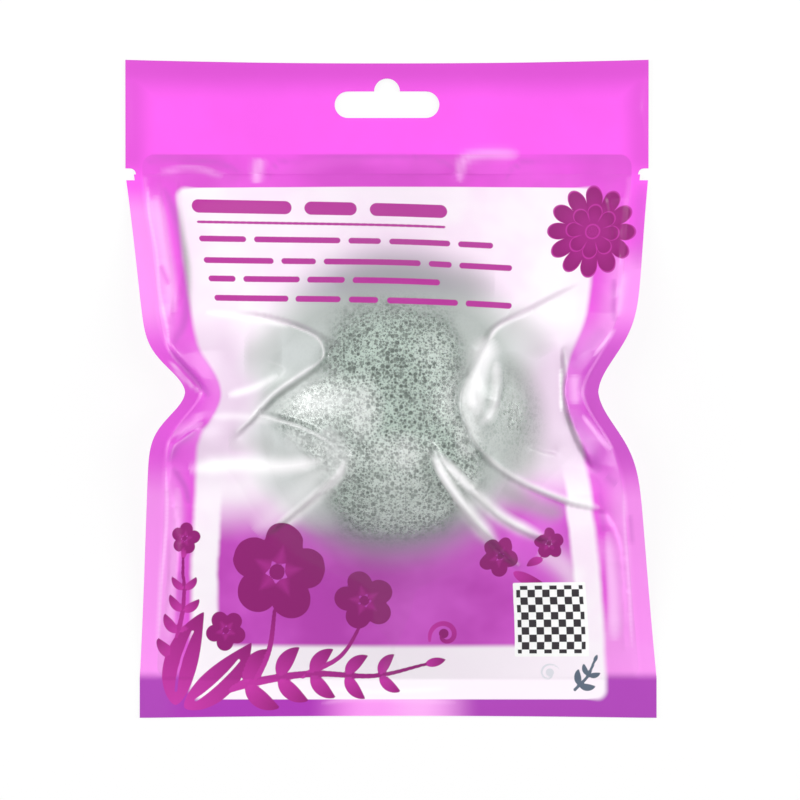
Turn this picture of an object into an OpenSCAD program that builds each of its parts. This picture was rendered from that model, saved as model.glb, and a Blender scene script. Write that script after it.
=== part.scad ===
// Konjac face puff in its sealed hang pouch, lying on its back.
// Millimetres. +Z is up out of the pouch's front, +Y is toward its header, and the
// origin is on the table under the centre of the puff's flat face.

/* [Puff] */
// Diameter of the puff
puff_d = 80; // [64:1:88]
// Height of the puff, from its flat face to the top of its dome
puff_h = 38; // [24:1:44]
// Rounding between the flat face and the dome
puff_edge_r = 3; // [1:0.5:6]
// Clearance between the dome and the film over it
puff_gap = 0.4; // [0.3:0.1:1]

/* [Pouch] */
// Width of the pouch over its side seals
pouch_w = 130; // [122:1:160]
// From the puff's centre up to the tear line
body_up = 58; // [52:1:80]
// From the puff's centre down to the lower edge
body_down = 77; // [66:1:100]
// Thickness of one film
film_t = 0.15; // [0.1:0.01:0.3]
// Width of each side seal
side_seal_w = 4.2; // [3:0.1:7]
// Height of the seal along the lower edge
foot_seal_h = 10; // [5:0.5:14]
// How far the lower edge is to the right of the header
lean = 3; // [0:0.5:5]
// How far the middle of the lower edge is drawn up
foot_bow = 0.5; // [0:0.1:3]

/* [Waist, where the puff draws the side seals in] */
// Height of the waist above the puff's centre
waist_y = 4; // [-8:1:12]
// Straight taper of each side, from the pouch's ends to the waist
waist_taper = 6.3; // [2:0.1:8]
// How far the pouch's side stands out past the puff at the waist
waist_flap = 10.5; // [8:0.1:16]
// Half height of the left pinch
left_pinch_reach = 8; // [6:0.5:16]
// Half height of the right pinch
right_pinch_reach = 12; // [6:0.5:16]
// Lift of the side seals off the table at the waist
waist_lift = 11; // [4:0.5:16]

/* [Drape of the front film] */
// How far down the dome the film clings, past where a taut film would leave it, in degrees
cling_deg = 12; // [0:1:16]
// Rise for each millimetre inward at which the film leaves its rim
rim_slope = 0.2; // [0.05:0.01:0.3]
// Lift of the front film off the back film in the middle of the tear line
mouth_lift = 2; // [0.5:0.1:3]

/* [Slack and folds of the front film] */
// Height of the pillow between the puff and the tear line
top_pillow = 3; // [0:0.1:4]
// Height of the pillow between the puff and the foot seal
foot_pillow = 1.8; // [0:0.1:3]
// Dip between the puff and each corner, where the film is drawn tight
corner_dip = 2.5; // [0:0.1:3]
// Half width of those dips
corner_dip_w = 9.5; // [5:0.5:14]
// Height of the tallest pillow of slack beside the puff
side_slack = 3; // [0:0.1:4]
// Height of the tallest fold's crest
fold_h = 2.7; // [0:0.1:4]
// Width of a fold's steep side
fold_steep_w = 3.5; // [2:0.5:5]
// Width of a fold's gentle side
fold_gentle_w = 12; // [6:0.5:16]

/* [Header] */
// Height of the header, from the tear line to the top edge
header_h = 28.5; // [24:0.5:45]
// Strip of the header above the tear line where the two films aren't welded
header_loose = 5; // [3:0.5:7]
// How far the middle of the top edge is drawn down
header_bow = 0.9; // [0:0.1:3]
// Gap of the tear line, between the header and the pouch below it
tear_gap = 0.1; // [0.05:0.01:0.3]
// Length of the hang slot
slot_w = 26; // [18:1:36]
// Height of the hang slot's straight part
slot_h = 6.6; // [5:0.1:9]
// Radius of the bump at the middle of the slot's upper side
slot_bump_r = 3.2; // [2:0.1:4.5]
// From the tear line up to the middle of the hang slot
slot_up = 17.3; // [12:0.1:30]
// Radius of the tear notches
notch_r = 1.5; // [0.8:0.1:2.2]
// Depth of the tear notches
notch_depth = 2.6; // [1.6:0.1:3]

/* [Hidden] */

// Overrun of every cut past the face it leaves
overrun = 1;
// How far the header's loose strip laps into its weld
weld_lap = 0.5;
// Power of the curve in which the loose strip comes down to the weld
gape_power = 1.5;
$fn = 48;

// Middles and half sizes of the two pillows, as shares of the pouch's half width and of its
// reach up or down
pillow_middle_shares = [0.03, 0.72, -0.68];
pillow_half_shares = [[0.55, 0.33], [0.43, 0.31]];
// Middle and half length of each corner's dip, as shares of the way to the corner
dip_middle_share = 0.64;
dip_half_share = 0.28;
// Pillows of slack beside the puff: middle and half sizes as shares of the puff's radius, and
// height as a share of side_slack
slack_shares = [
    [[-0.95, 0.08], [0.28, 0.24], 1.1], [[-1.22, -0.5], [0.25, 0.55], 0.6],
    [[-0.7, 0.32], [0.28, 0.2], 0.9],
    [[-1.32, 0.75], [0.18, 0.6], 0.35], [[-0.9, -0.3], [0.5, 0.35], 0.4],
    [[1.05, 0.15], [0.2, 0.35], 1.1], [[1.18, -0.35], [0.22, 0.4], 0.5],
    [[1.15, 0.6], [0.28, 0.35], 0.5], [[0.75, 0.1], [0.3, 0.5], 0.4]
];
// Folds: crest as shares of the puff's radius, height as a share of fold_h, and the side of
// the crest's direction on which it is steep: 1 for the left and -1 for the right
fold_shares = [
    [[[-0.95, 0.56], [-0.65, 0.5], [-0.44, 0.42], [-0.4, 0.34], [-0.45, 0.26], [-0.7, 0.08],
      [-0.95, -0.15]], 1, 1],
    [[[-0.85, -0.03], [-0.55, -0.11], [-0.3, -0.24], [-0.27, -0.3], [-0.33, -0.39],
      [-0.6, -0.62], [-0.78, -0.76]], 0.6, 1],
    [[[1.15, 0.75], [0.83, 0.58], [0.6, 0.45], [0.47, 0.23], [0.4, 0.1], [0.4, -0.03],
      [0.5, -0.23], [0.66, -0.37], [0.84, -0.47], [1.3, -0.61]], 0.9, -1],
    [[[0.2, -0.22], [0.3, -0.42], [0.46, -0.62], [0.78, -0.96]], 0.8, -1],
    [[[0.42, -0.43], [0.65, -0.65], [0.98, -0.81]], 0.9, -1]
];
// Share of a crest's length over which it rises at each end
fold_end_share = 0.14;
// Powers of the curves in which a gentle side falls and all relief ends at the rim
gentle_power = 1.6;
rim_power = 4;

// Steps along the mouth and foot, along each side, over the dome, from it to the rim, across
// the header's loose strip and along a bowed edge
mouth_steps = 14;
side_steps = 26;
dome_steps = 14;
skirt_steps = 9;
back_steps = 4;
loose_steps = 3;
bow_steps = 24;

puff_r = puff_d / 2;
waist_pinch = pouch_w / 2 - waist_taper - waist_flap - puff_r;
foot_y = foot_seal_h - body_down;
mouth_y = body_up - tear_gap / 2;
header_x = -lean / 2;
header_top = body_up + header_h;
slot_y = body_up + slot_up;
slot_end_r = slot_h / 2;
notch_in = notch_depth - notch_r;

film_colour = [0.93, 0.62, 0.93, 0.55];
back_colour = [0.80, 0.38, 0.80];
seal_colour = [0.90, 0.45, 0.90];
header_colour = [0.96, 0.38, 0.93];
puff_colour = [0.66, 0.74, 0.70];

function ease(s) = let(c = min(1, max(0, s))) c * c * (3 - 2 * c);
function between(a, b, s) = a + (b - a) * s;

// Outline of the lying pouch: each side tapers to the waist and is pinched there
function side_reach(y) = y > waist_y ? body_up - waist_y : body_down + waist_y;
function pinch_reach(side) = side < 0 ? left_pinch_reach : right_pinch_reach;
function drawn_in(y, side) =
    waist_taper * (1 - abs(y - waist_y) / side_reach(y))
    + waist_pinch * exp(-pow((y - waist_y) / pinch_reach(side), 2));
function middle_x(y) = header_x + lean * (body_up - y) / (body_up + body_down);
function outer_x(y, side) = middle_x(y) + side * (pouch_w / 2 - drawn_in(y, side));
function inner_x(y, side) = outer_x(y, side) - side * side_seal_w;

// Height of the side seals' underside over the table
function seal_lift(y) = waist_lift * (y > waist_y
    ? ease((mouth_y - y) / (mouth_y - waist_y))
    : ease((y - foot_y) / (waist_y - foot_y)));

// Rim of the two films, anticlockwise from the right end of the mouth, as [x, y, lift]
side_ys = [for (i = [0 : side_steps]) between(mouth_y, foot_y, i / side_steps)];
rim = concat(
    [for (i = [0 : mouth_steps - 1]) let(s = i / mouth_steps)
        [between(inner_x(mouth_y, 1), inner_x(mouth_y, -1), s), mouth_y, 0]],
    [for (i = [0 : side_steps - 1]) let(y = side_ys[i]) [inner_x(y, -1), y, seal_lift(y)]],
    [for (i = [0 : mouth_steps - 1]) let(s = i / mouth_steps)
        [between(inner_x(foot_y, -1), inner_x(foot_y, 1), s), foot_y, 0]],
    [for (i = [side_steps : -1 : 1]) let(y = side_ys[i]) [inner_x(y, 1), y, seal_lift(y)]]
);

// The dome as the film over it sees it: an ellipsoid whose widest ring is one edge
// rounding above the flat face
dome_r = puff_r + puff_gap;
dome_z = puff_h - puff_edge_r + puff_gap;

// Angle on the dome at which the film leaves it for a rim point: where a taut film would
// touch, and the cling further down
function leave_angle(p) =
    let(a = norm([p.x, p.y]) / dome_r, c = (p.z - puff_edge_r) / dome_z)
    atan2(c, a) + acos(1 / norm([a, c])) - cling_deg;
function dome_height(r) = puff_edge_r + dome_z * sqrt(max(0, 1 - pow(r / dome_r, 2)));
function on_ray(p, r, z) = let(d = norm([p.x, p.y])) [p.x * r / d, p.y * r / d, z];

// Skirt of the front film: a curve that starts along the dome and ends along the rim's slope
function skirt_point(p, s) =
    let(q = leave_angle(p), d = norm([p.x, p.y]), r = dome_r * cos(q), z = dome_height(r),
        fall = -dome_z / dome_r * cos(q) / sin(q),
        turn_r = (p.z + rim_slope * d - z + fall * r) / (fall + rim_slope),
        turn_z = p.z + rim_slope * (d - turn_r))
    on_ray(p, pow(1 - s, 2) * r + 2 * s * (1 - s) * turn_r + s * s * d,
              pow(1 - s, 2) * z + 2 * s * (1 - s) * turn_z + s * s * p.z);

// The front film stands off the back one along the tear line, most in the middle
mouth_half = (inner_x(mouth_y, 1) - inner_x(mouth_y, -1)) / 2;
function mouth_gape(x) = mouth_lift * pow(max(0, 1 - pow((x - header_x) / mouth_half, 2)), 2);
front_rim = [for (p = rim) p.y < mouth_y ? p : [p.x, p.y, mouth_gape(p.x)]];

// A round-topped rise of height 1 over an ellipse
function rise(p, middle, half, turn = 0) =
    let(d = p - middle, u = (d.x * cos(turn) + d.y * sin(turn)) / half.x,
        v = (d.y * cos(turn) - d.x * sin(turn)) / half.y)
    max(0, 1 - u * u - v * v);

// The film's slack: a pillow above the puff and one below it, dips toward the corners, and
// the pillows beside it
ends = [body_up, body_down];
corners = [for (y = [mouth_y, foot_y], side = [-1, 1]) [inner_x(y, side), y]];
function end_pillow(p, k) = rise(p,
    [pillow_middle_shares[0] * pouch_w / 2, pillow_middle_shares[k + 1] * ends[k]],
    [pillow_half_shares[k].x * pouch_w / 2, pillow_half_shares[k].y * ends[k]]);
function dip(p, corner) = rise(p, dip_middle_share * corner,
    [dip_half_share * norm(corner), corner_dip_w], atan2(corner.y, corner.x));
function slack(p) = top_pillow * end_pillow(p, 0) + foot_pillow * end_pillow(p, 1)
    - corner_dip * max([for (c = corners) dip(p, c)])
    + side_slack * max([for (q = slack_shares) q[2] * rise(p, puff_r * q[0], puff_r * q[1])]);

// The nearest place on a fold's crest: how far away, how far along it, and on which side
function nearest(p, line) =
    let(n = len(line) - 1,
        places = [for (i = [0 : n - 1])
            let(run = line[i + 1] - line[i], d = p - line[i],
                s = min(1, max(0, d * run / (run * run))))
            [norm(d - s * run), (i + s) / n, run.x * d.y - run.y * d.x]],
        least = min([for (q = places) q[0]]))
    [for (q = places) if (q[0] == least) q][0];
function fold(p, crest, height, steep) =
    let(q = nearest(p, crest), side = q[2] * steep > 0,
        fall = max(0, 1 - q[0] / (side ? fold_steep_w : fold_gentle_w)))
    height * min(1, q[1] / fold_end_share, (1 - q[1]) / fold_end_share)
    * (side ? fall : pow(fall, gentle_power));
crests = [for (q = fold_shares) [for (v = q[0]) puff_r * v]];
function folds(p) = fold_h * max([for (i = [0 : len(crests) - 1])
    fold(p, crests[i], fold_shares[i][1], fold_shares[i][2])]);

// Slack and folds added to a point of the smooth film, at a share of the way to the rim
function relieved(p, s) =
    let(q = [p.x, p.y]) p + [0, 0, (slack(q) + folds(q)) * (1 - pow(s, rim_power))];

// Rings of the front film: over the dome as far as it clings, then down the skirt
front_rings = concat(
    [for (k = [1 : dome_steps]) [for (p = front_rim)
        let(r = dome_r * cos(leave_angle(p)) * k / dome_steps)
        relieved(on_ray(p, r, dome_height(r)), 0)]],
    [for (k = [1 : skirt_steps]) let(s = k / skirt_steps)
        [for (p = front_rim) relieved(skirt_point(p, s), s)]]
);

// Rings of the back film: a flat disc under the puff, then straight up to the rim
back_rings = [for (k = [0 : back_steps]) [for (p = rim)
    let(s = k / back_steps) on_ray(p, between(dome_r, norm([p.x, p.y]), s), p.z * s)]];

function raised(rings, dz) = [for (ring = rings) [for (p = ring) p + [0, 0, dz]]];
function flat(lists) = [for (l = lists) for (p = l) p];

// A closed film between two sets of rings of equal count, the upper one first
module film(upper, lower, upper_middle, lower_middle) {
    n = len(upper[0]);
    last = len(upper) - 1;
    base = n * (last + 1);
    function up(k, i) = 2 + k * n + i % n;
    function low(k, i) = base + up(k, i);
    polyhedron(
        points = concat([upper_middle, lower_middle], flat(upper), flat(lower)),
        faces = concat(
            [for (i = [0 : n - 1]) [0, up(0, i + 1), up(0, i)]],
            [for (i = [0 : n - 1]) [1, low(0, i), low(0, i + 1)]],
            [for (k = [0 : last - 1], i = [0 : n - 1]) [up(k, i), up(k, i + 1), up(k + 1, i + 1)]],
            [for (k = [0 : last - 1], i = [0 : n - 1]) [up(k, i), up(k + 1, i + 1), up(k + 1, i)]],
            [for (k = [0 : last - 1], i = [0 : n - 1]) [low(k, i), low(k + 1, i + 1), low(k, i + 1)]],
            [for (k = [0 : last - 1], i = [0 : n - 1]) [low(k, i), low(k + 1, i), low(k + 1, i + 1)]],
            [for (i = [0 : n - 1]) [low(last, i), up(last, i), up(last, i + 1)]],
            [for (i = [0 : n - 1]) [low(last, i), up(last, i + 1), low(last, i + 1)]]
        )
    );
}

// A two-film band down one side, from the tear line to the foot seal
module side_band(side) {
    n = side_steps;
    sections = [for (y = side_ys)
        let(a = inner_x(y, side), b = outer_x(y, side), z = seal_lift(y))
        [[min(a, b), y, z], [max(a, b), y, z],
         [max(a, b), y, z + 2 * film_t], [min(a, b), y, z + 2 * film_t]]];
    polyhedron(
        points = flat(sections),
        faces = concat(
            [[3, 2, 1, 0], [for (j = [0 : 3]) 4 * n + j]],
            [for (i = [0 : n - 1], j = [0 : 3])
                let(a = 4 * i + j, b = 4 * i + (j + 1) % 4) [a, b, b + 4]],
            [for (i = [0 : n - 1], j = [0 : 3])
                let(a = 4 * i + j, b = 4 * i + (j + 1) % 4) [a, b + 4, a + 4]]
        )
    );
}

// The round tear notches in both side edges, on the tear line
module notches() {
    for (side = [-1, 1])
        translate([header_x + side * (pouch_w / 2 - notch_in), body_up, -overrun]) {
            cylinder(r = notch_r, h = 2 * (film_t + overrun));
            translate([min(0, side * notch_depth), -notch_r, 0])
                cube([notch_depth, 2 * notch_r, 2 * (film_t + overrun)]);
        }
}

// The hang slot: a slot with round ends and a bump in its upper side
module hang_slot() {
    deep = 2 * (film_t + overrun);
    straight = slot_w - 2 * slot_end_r;
    translate([header_x, slot_y, -overrun]) {
        for (side = [-1, 1])
            translate([side * straight / 2, 0, 0]) cylinder(r = slot_end_r, h = deep);
        translate([-straight / 2, -slot_end_r, 0]) cube([straight, slot_h, deep]);
        translate([0, slot_end_r, 0]) cylinder(r = slot_bump_r, h = deep);
    }
}

// One film of the header from a given height up. Its top edge is bowed down in the middle
module header_ply(from_y) {
    w = pouch_w / 2;
    linear_extrude(film_t)
        polygon(concat(
            [[header_x - w, from_y], [header_x + w, from_y]],
            [for (i = [bow_steps : -1 : 0]) let(s = 2 * i / bow_steps - 1)
                [header_x + w * s, header_top - header_bow * (1 - s * s)]]
        ));
}

// The header's loose strip: it meets the front film at the tear line, and laps into the weld
module loose_strip() {
    n = bow_steps;
    steps = loose_steps + 1;
    low_y = body_up + tear_gap / 2;
    weld_y = body_up + header_loose;
    rows = [for (k = [0 : steps]) let(s = min(1, k / loose_steps)) [for (i = [0 : n])
        let(x = header_x + pouch_w * (i / n - 1 / 2))
        [x, k > loose_steps ? weld_y + weld_lap : between(low_y, weld_y, s),
         mouth_gape(x) * pow(1 - s, gape_power)]]];
    upper = flat(raised(rows, film_t));
    lower = flat(rows);
    half = len(upper);
    w = n + 1;
    function quad(a, b, c, d) = [[a, b, c], [a, c, d]];
    polyhedron(
        points = concat(upper, lower),
        faces = concat(
            [for (k = [0 : steps - 1], i = [0 : n - 1]) let(a = k * w + i)
                each quad(a, a + w, a + w + 1, a + 1)],
            [for (k = [0 : steps - 1], i = [0 : n - 1]) let(a = half + k * w + i)
                each quad(a, a + 1, a + w + 1, a + w)],
            [for (i = [0 : n - 1]) each quad(i, i + 1, half + i + 1, half + i)],
            [for (i = [0 : n - 1]) let(a = steps * w + i)
                each quad(a + 1, a, half + a, half + a + 1)],
            [for (k = [0 : steps - 1]) let(a = k * w)
                each quad(a + w, a, half + a, half + a + w)],
            [for (k = [0 : steps - 1]) let(a = k * w + n)
                each quad(a, a + w, half + a + w, half + a)]
        )
    );
}

module konjac_puff() {
    color(puff_colour) translate([0, 0, film_t])
        rotate_extrude($fn = 96)
            polygon(concat(
                [[0, 0]],
                [for (a = [-90 : 15 : -15])
                    [puff_r - puff_edge_r + puff_edge_r * cos(a), puff_edge_r * (1 + sin(a))]],
                [for (a = [0 : 5 : 85])
                    [puff_r * cos(a), puff_edge_r + (puff_h - puff_edge_r) * sin(a)]],
                [[0, puff_h]]
            ));
}

module front_film() {
    color(film_colour)
        film(raised(front_rings, 2 * film_t), raised(front_rings, film_t),
             [0, 0, dome_height(0) + 2 * film_t], [0, 0, dome_height(0) + film_t]);
}

module back_film() {
    color(back_colour)
        film(raised(back_rings, film_t), back_rings, [0, 0, film_t], [0, 0, 0]);
}

module left_seal() {
    color(seal_colour) difference() {
        side_band(-1);
        notches();
    }
}

module right_seal() {
    color(seal_colour) difference() {
        side_band(1);
        notches();
    }
}

module foot_seal() {
    a = outer_x(foot_y, -1);
    b = outer_x(foot_y, 1);
    color(seal_colour) linear_extrude(2 * film_t)
        polygon(concat(
            [[b, foot_y], [a, foot_y]],
            [for (i = [0 : bow_steps]) let(s = i / bow_steps)
                [between(a, b, s), foot_bow * (1 - pow(2 * s - 1, 2)) - body_down]]
        ));
}

module header_front() {
    color(header_colour) translate([0, 0, film_t]) difference() {
        union() {
            header_ply(body_up + header_loose);
            loose_strip();
        }
        hang_slot();
        notches();
    }
}

module header_back() {
    color(header_colour) difference() {
        header_ply(body_up + tear_gap / 2);
        hang_slot();
        notches();
    }
}

konjac_puff();
front_film();
back_film();
left_seal();
right_seal();
foot_seal();
header_front();
header_back();
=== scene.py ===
"""Looks of a konjac face puff sealed in its printed hang pouch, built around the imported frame."""
import math

import bpy
import numpy as np
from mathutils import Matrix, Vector
from mathutils.geometry import delaunay_2d_cdt


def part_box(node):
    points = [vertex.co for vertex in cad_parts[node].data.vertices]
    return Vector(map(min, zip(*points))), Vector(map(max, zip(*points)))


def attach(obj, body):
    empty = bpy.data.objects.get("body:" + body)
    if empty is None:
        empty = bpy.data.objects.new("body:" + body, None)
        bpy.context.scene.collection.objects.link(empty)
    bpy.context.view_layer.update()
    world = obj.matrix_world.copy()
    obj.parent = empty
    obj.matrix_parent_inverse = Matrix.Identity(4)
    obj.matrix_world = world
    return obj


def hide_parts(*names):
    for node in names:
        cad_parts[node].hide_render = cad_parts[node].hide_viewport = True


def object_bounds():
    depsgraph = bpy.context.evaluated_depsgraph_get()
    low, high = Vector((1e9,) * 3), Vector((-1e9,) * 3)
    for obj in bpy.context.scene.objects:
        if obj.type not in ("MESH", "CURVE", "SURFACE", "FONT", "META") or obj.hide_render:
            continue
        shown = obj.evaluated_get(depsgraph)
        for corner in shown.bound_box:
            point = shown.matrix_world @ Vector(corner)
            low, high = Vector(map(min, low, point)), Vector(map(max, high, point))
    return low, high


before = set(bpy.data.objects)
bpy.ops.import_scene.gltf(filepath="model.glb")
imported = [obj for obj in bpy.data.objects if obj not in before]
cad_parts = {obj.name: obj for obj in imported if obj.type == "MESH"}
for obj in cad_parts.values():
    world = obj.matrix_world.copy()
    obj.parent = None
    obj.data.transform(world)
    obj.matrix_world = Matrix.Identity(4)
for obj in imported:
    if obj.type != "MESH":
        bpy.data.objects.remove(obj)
cad_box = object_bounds()

bl_info = {
    "name": "Face puff in a hang pouch",
    "version": (1, 0, 0),
    "blender": (4, 5, 0),
    "location": "View3D > Sidebar > Puff pouch",
    "description": "Builds the puff, its draped film pouch, the print on it and the studio",
    "category": "Object",
}

MM = 0.001


def node_box(node):
    """Lowest and highest corner of a CAD node, in millimetres."""
    low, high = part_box(node)
    return [v / MM for v in low], [v / MM for v in high]


HEADER_LOW, HEADER_HIGH = node_box("header_back")
FOOT_LOW, FOOT_HIGH = node_box("foot_seal")
PUFF_LOW, PUFF_HIGH = node_box("konjac_puff")


def size(name, default, about):
    """A size in millimetres that a user would change."""
    return bpy.props.FloatProperty(name=name, default=default, description=about)


def colour(name, default, about):
    """A colour that a user would change."""
    return bpy.props.FloatVectorProperty(
        name=name, default=default, size=3, min=0.0, max=1.0, subtype="COLOR", description=about
    )


class PouchSizes(bpy.types.PropertyGroup):
    """Sizes of the pouch and puff, in millimetres."""

    side_seal: size("Side seal", 4.2, "Width of each side seal")
    taper: size("Taper", 6.3, "Straight taper of each side towards the waist")
    waist_flap: size("Waist flap", 10.5, "How far the pouch's side stands out past the puff")
    waist_y: size("Waist", 4.0, "Height of the waist above the puff's centre")
    left_reach: size("Left pinch", 8.0, "Half height of the left pinch")
    right_reach: size("Right pinch", 12.0, "Half height of the right pinch")
    waist_lift: size("Waist lift", 11.0, "Lift of the side seals off the table at the waist")
    edge_round: size("Puff edge", 3.0, "Rounding between the puff's dome and its flat face")
    film_gap: size("Film gap", 0.4, "Gap between the dome and the film that clings to it")
    mouth_lift: size("Mouth lift", 2.0, "Lift of the front film in the middle of the tear line")
    loose: size("Loose strip", 5.0, "Strip above the tear line where the films aren't welded")
    foot_bow: size("Foot bow", 0.5, "How far the lower edge bows up in the middle")
    header_bow: size("Header bow", 0.9, "How far the upper edge sags in the middle")
    notch_r: size("Notch radius", 1.5, "Radius of each tear notch")
    notch_depth: size("Notch depth", 2.6, "Depth of each tear notch")
    slot_up: size("Slot height", 17.3, "Height of the hang slot's middle above the tear line")
    slot_w: size("Slot width", 26.0, "Width of the hang slot")
    slot_h: size("Slot opening", 6.6, "Height of the hang slot")
    slot_bump: size("Slot bump", 3.2, "Radius of the bump in the hang slot's upper side")
    skirt_load: size("Skirt load", 0.006, "Sag of the film between puff and rim, per millimetre")
    cling_load: size("Cling load", 0.008, "How hard the film clings to the dome, per millimetre")


class PouchColours(bpy.types.PropertyGroup):
    """Colours of the film, the print and the foam, in linear values."""

    print_bright: colour("Print", (0.87, 0.10, 0.79), "Magenta print on the header and sides")
    print_deep: colour("Deep print", (0.46, 0.045, 0.43), "Magenta behind the lower window")
    window: colour("Window", (0.90, 0.84, 0.90), "Frosted film over the empty pouch")
    puff_haze: colour("Puff haze", (0.43, 0.47, 0.45), "Frosted film over the puff")
    ink_dark: colour("Dark ink", (0.25, 0.001, 0.15), "Ink of the print")
    ink_light: colour("Light ink", (0.52, 0.03, 0.36), "Ink at the roots of the print")
    foam_web: colour("Foam web", (0.43, 0.53, 0.47), "Walls of the foam's cells")
    foam_pore: colour("Foam pore", (0.045, 0.07, 0.055), "Depths of the foam's pores")


# Outline and heights of the lying pouch

# Soft ridges across the tear line: place, half width and height in millimetres
MOUTH_RIDGES = [
    (-48, 5.0, 0.9), (-33.5, 1.8, 1.0), (-12, 7.0, 0.5), (16, 2.2, 1.1), (34, 6.0, 0.6), (50, 4.0, 0.8),
]


def lerp(a, b, s):
    return a + (b - a) * s


def ease(s):
    """0 up to 0 and 1 from 1 on, with a smooth change between."""
    s = np.clip(s, 0, 1)
    return s * s * (3 - 2 * s)


def fade(value, start, end, most=1.0):
    """0 at the start and the most at the end, with a smooth change between."""
    return most * ease((value - start) / (end - start))


def tapered(along, pace):
    """1 in the middle of a line and 0 at its ends, nearer to which a higher pace starts to fall."""
    return np.minimum(1, pace * np.sqrt(along * (1 - along)))


class Pouch:
    """The lying pouch's outline and levels, in millimetres, from the frame and the sizes."""

    def __init__(self, p):
        self.p = p
        self.ply = HEADER_HIGH[2] - HEADER_LOW[2]
        self.width = HEADER_HIGH[0] - HEADER_LOW[0]
        self.header_x = (HEADER_HIGH[0] + HEADER_LOW[0]) / 2
        self.mouth_y = HEADER_LOW[1]
        self.top_y = HEADER_HIGH[1]
        self.foot_y = FOOT_HIGH[1]
        self.low_y = FOOT_LOW[1]
        self.lean = -2 * self.header_x
        self.puff_r = (PUFF_HIGH[0] - PUFF_LOW[0]) / 2
        self.puff_h = PUFF_HIGH[2] - PUFF_LOW[2]
        self.pinch = self.width / 2 - p.taper - p.waist_flap - self.puff_r
        self.rim = self.rim_table()

    def outer_x(self, y, side):
        """The pouch's side: straight tapers, a pinch at the waist and a slight lean."""
        p = self.p
        y = np.clip(y, self.foot_y, self.mouth_y)
        reach = np.where(y > p.waist_y, self.mouth_y - p.waist_y, p.waist_y - self.low_y)
        pinch_reach = p.left_reach if side < 0 else p.right_reach
        drawn = p.taper * (1 - np.abs(y - p.waist_y) / reach)
        drawn = drawn + self.pinch * np.exp(-(((y - p.waist_y) / pinch_reach) ** 2))
        middle = self.header_x + self.lean * (self.mouth_y - y) / (self.mouth_y - self.low_y)
        return middle + side * (self.width / 2 - drawn)

    def inner_x(self, y, side):
        """The inner edge of a side seal."""
        return self.outer_x(y, side) - side * self.p.side_seal

    def seal_lift(self, y):
        """Lift of the side seals, highest at the waist."""
        w = self.p.waist_y
        rise = np.where(y > w, fade(y, self.mouth_y, w), fade(y, self.foot_y, w))
        return self.p.waist_lift * rise

    def gape(self, x):
        """Lift of the front film along the tear line, with a few soft ridges across it."""
        half = self.width / 2 - self.p.side_seal
        round_off = np.clip(1 - ((x - self.header_x) / half) ** 2, 0, 1)
        ridges = sum(tall * np.exp(-(((x - at) / wide) ** 2)) for at, wide, tall in MOUTH_RIDGES)
        return self.p.mouth_lift * round_off**2 + ridges * np.minimum(1, 3 * round_off)

    def dome(self, r, extra=0.0):
        """Height of the puff's dome over the back film, with the film's clearance added."""
        e = self.p.edge_round
        tall = self.puff_h - e + extra
        wide = self.puff_r + extra
        return np.where(r < wide, e + tall * np.sqrt(np.clip(1 - (r / wide) ** 2, 0, 1)), 0)

    def back_height(self, x, y):
        """Height of the back film: flat under the puff, then straight up to the side seals."""
        turn = np.arctan2(y, x)
        r = np.hypot(x, y)
        rim_r, rim_z = self.rim_polar(turn)
        start = self.puff_r + self.p.film_gap
        return rim_z * np.clip((r - start) / np.maximum(rim_r - start, 1), 0, 1)

    def rim_table(self, count=400):
        """The films' rim as directions from the puff's centre, distances and lifts."""
        ys = np.linspace(self.foot_y, self.mouth_y, count)
        parts = [np.stack([self.inner_x(ys, k), ys, self.seal_lift(ys)], 1) for k in (-1, 1)]
        for y in (self.foot_y, self.mouth_y):
            xs = np.linspace(self.inner_x(y, -1), self.inner_x(y, 1), count)
            parts.append(np.stack([xs, xs * 0 + y, xs * 0], 1))
        rim = np.concatenate(parts)
        turn = np.arctan2(rim[:, 1], rim[:, 0])
        order = np.argsort(turn)
        return turn[order], np.hypot(rim[:, 0], rim[:, 1])[order], rim[order, 2]

    def rim_polar(self, turn):
        """Distance and lift of the films' rim in each direction from the puff's centre."""
        turns, far, up = self.rim
        return (np.interp(turn, turns, far, period=2 * math.pi),
                np.interp(turn, turns, up, period=2 * math.pi))


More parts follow.
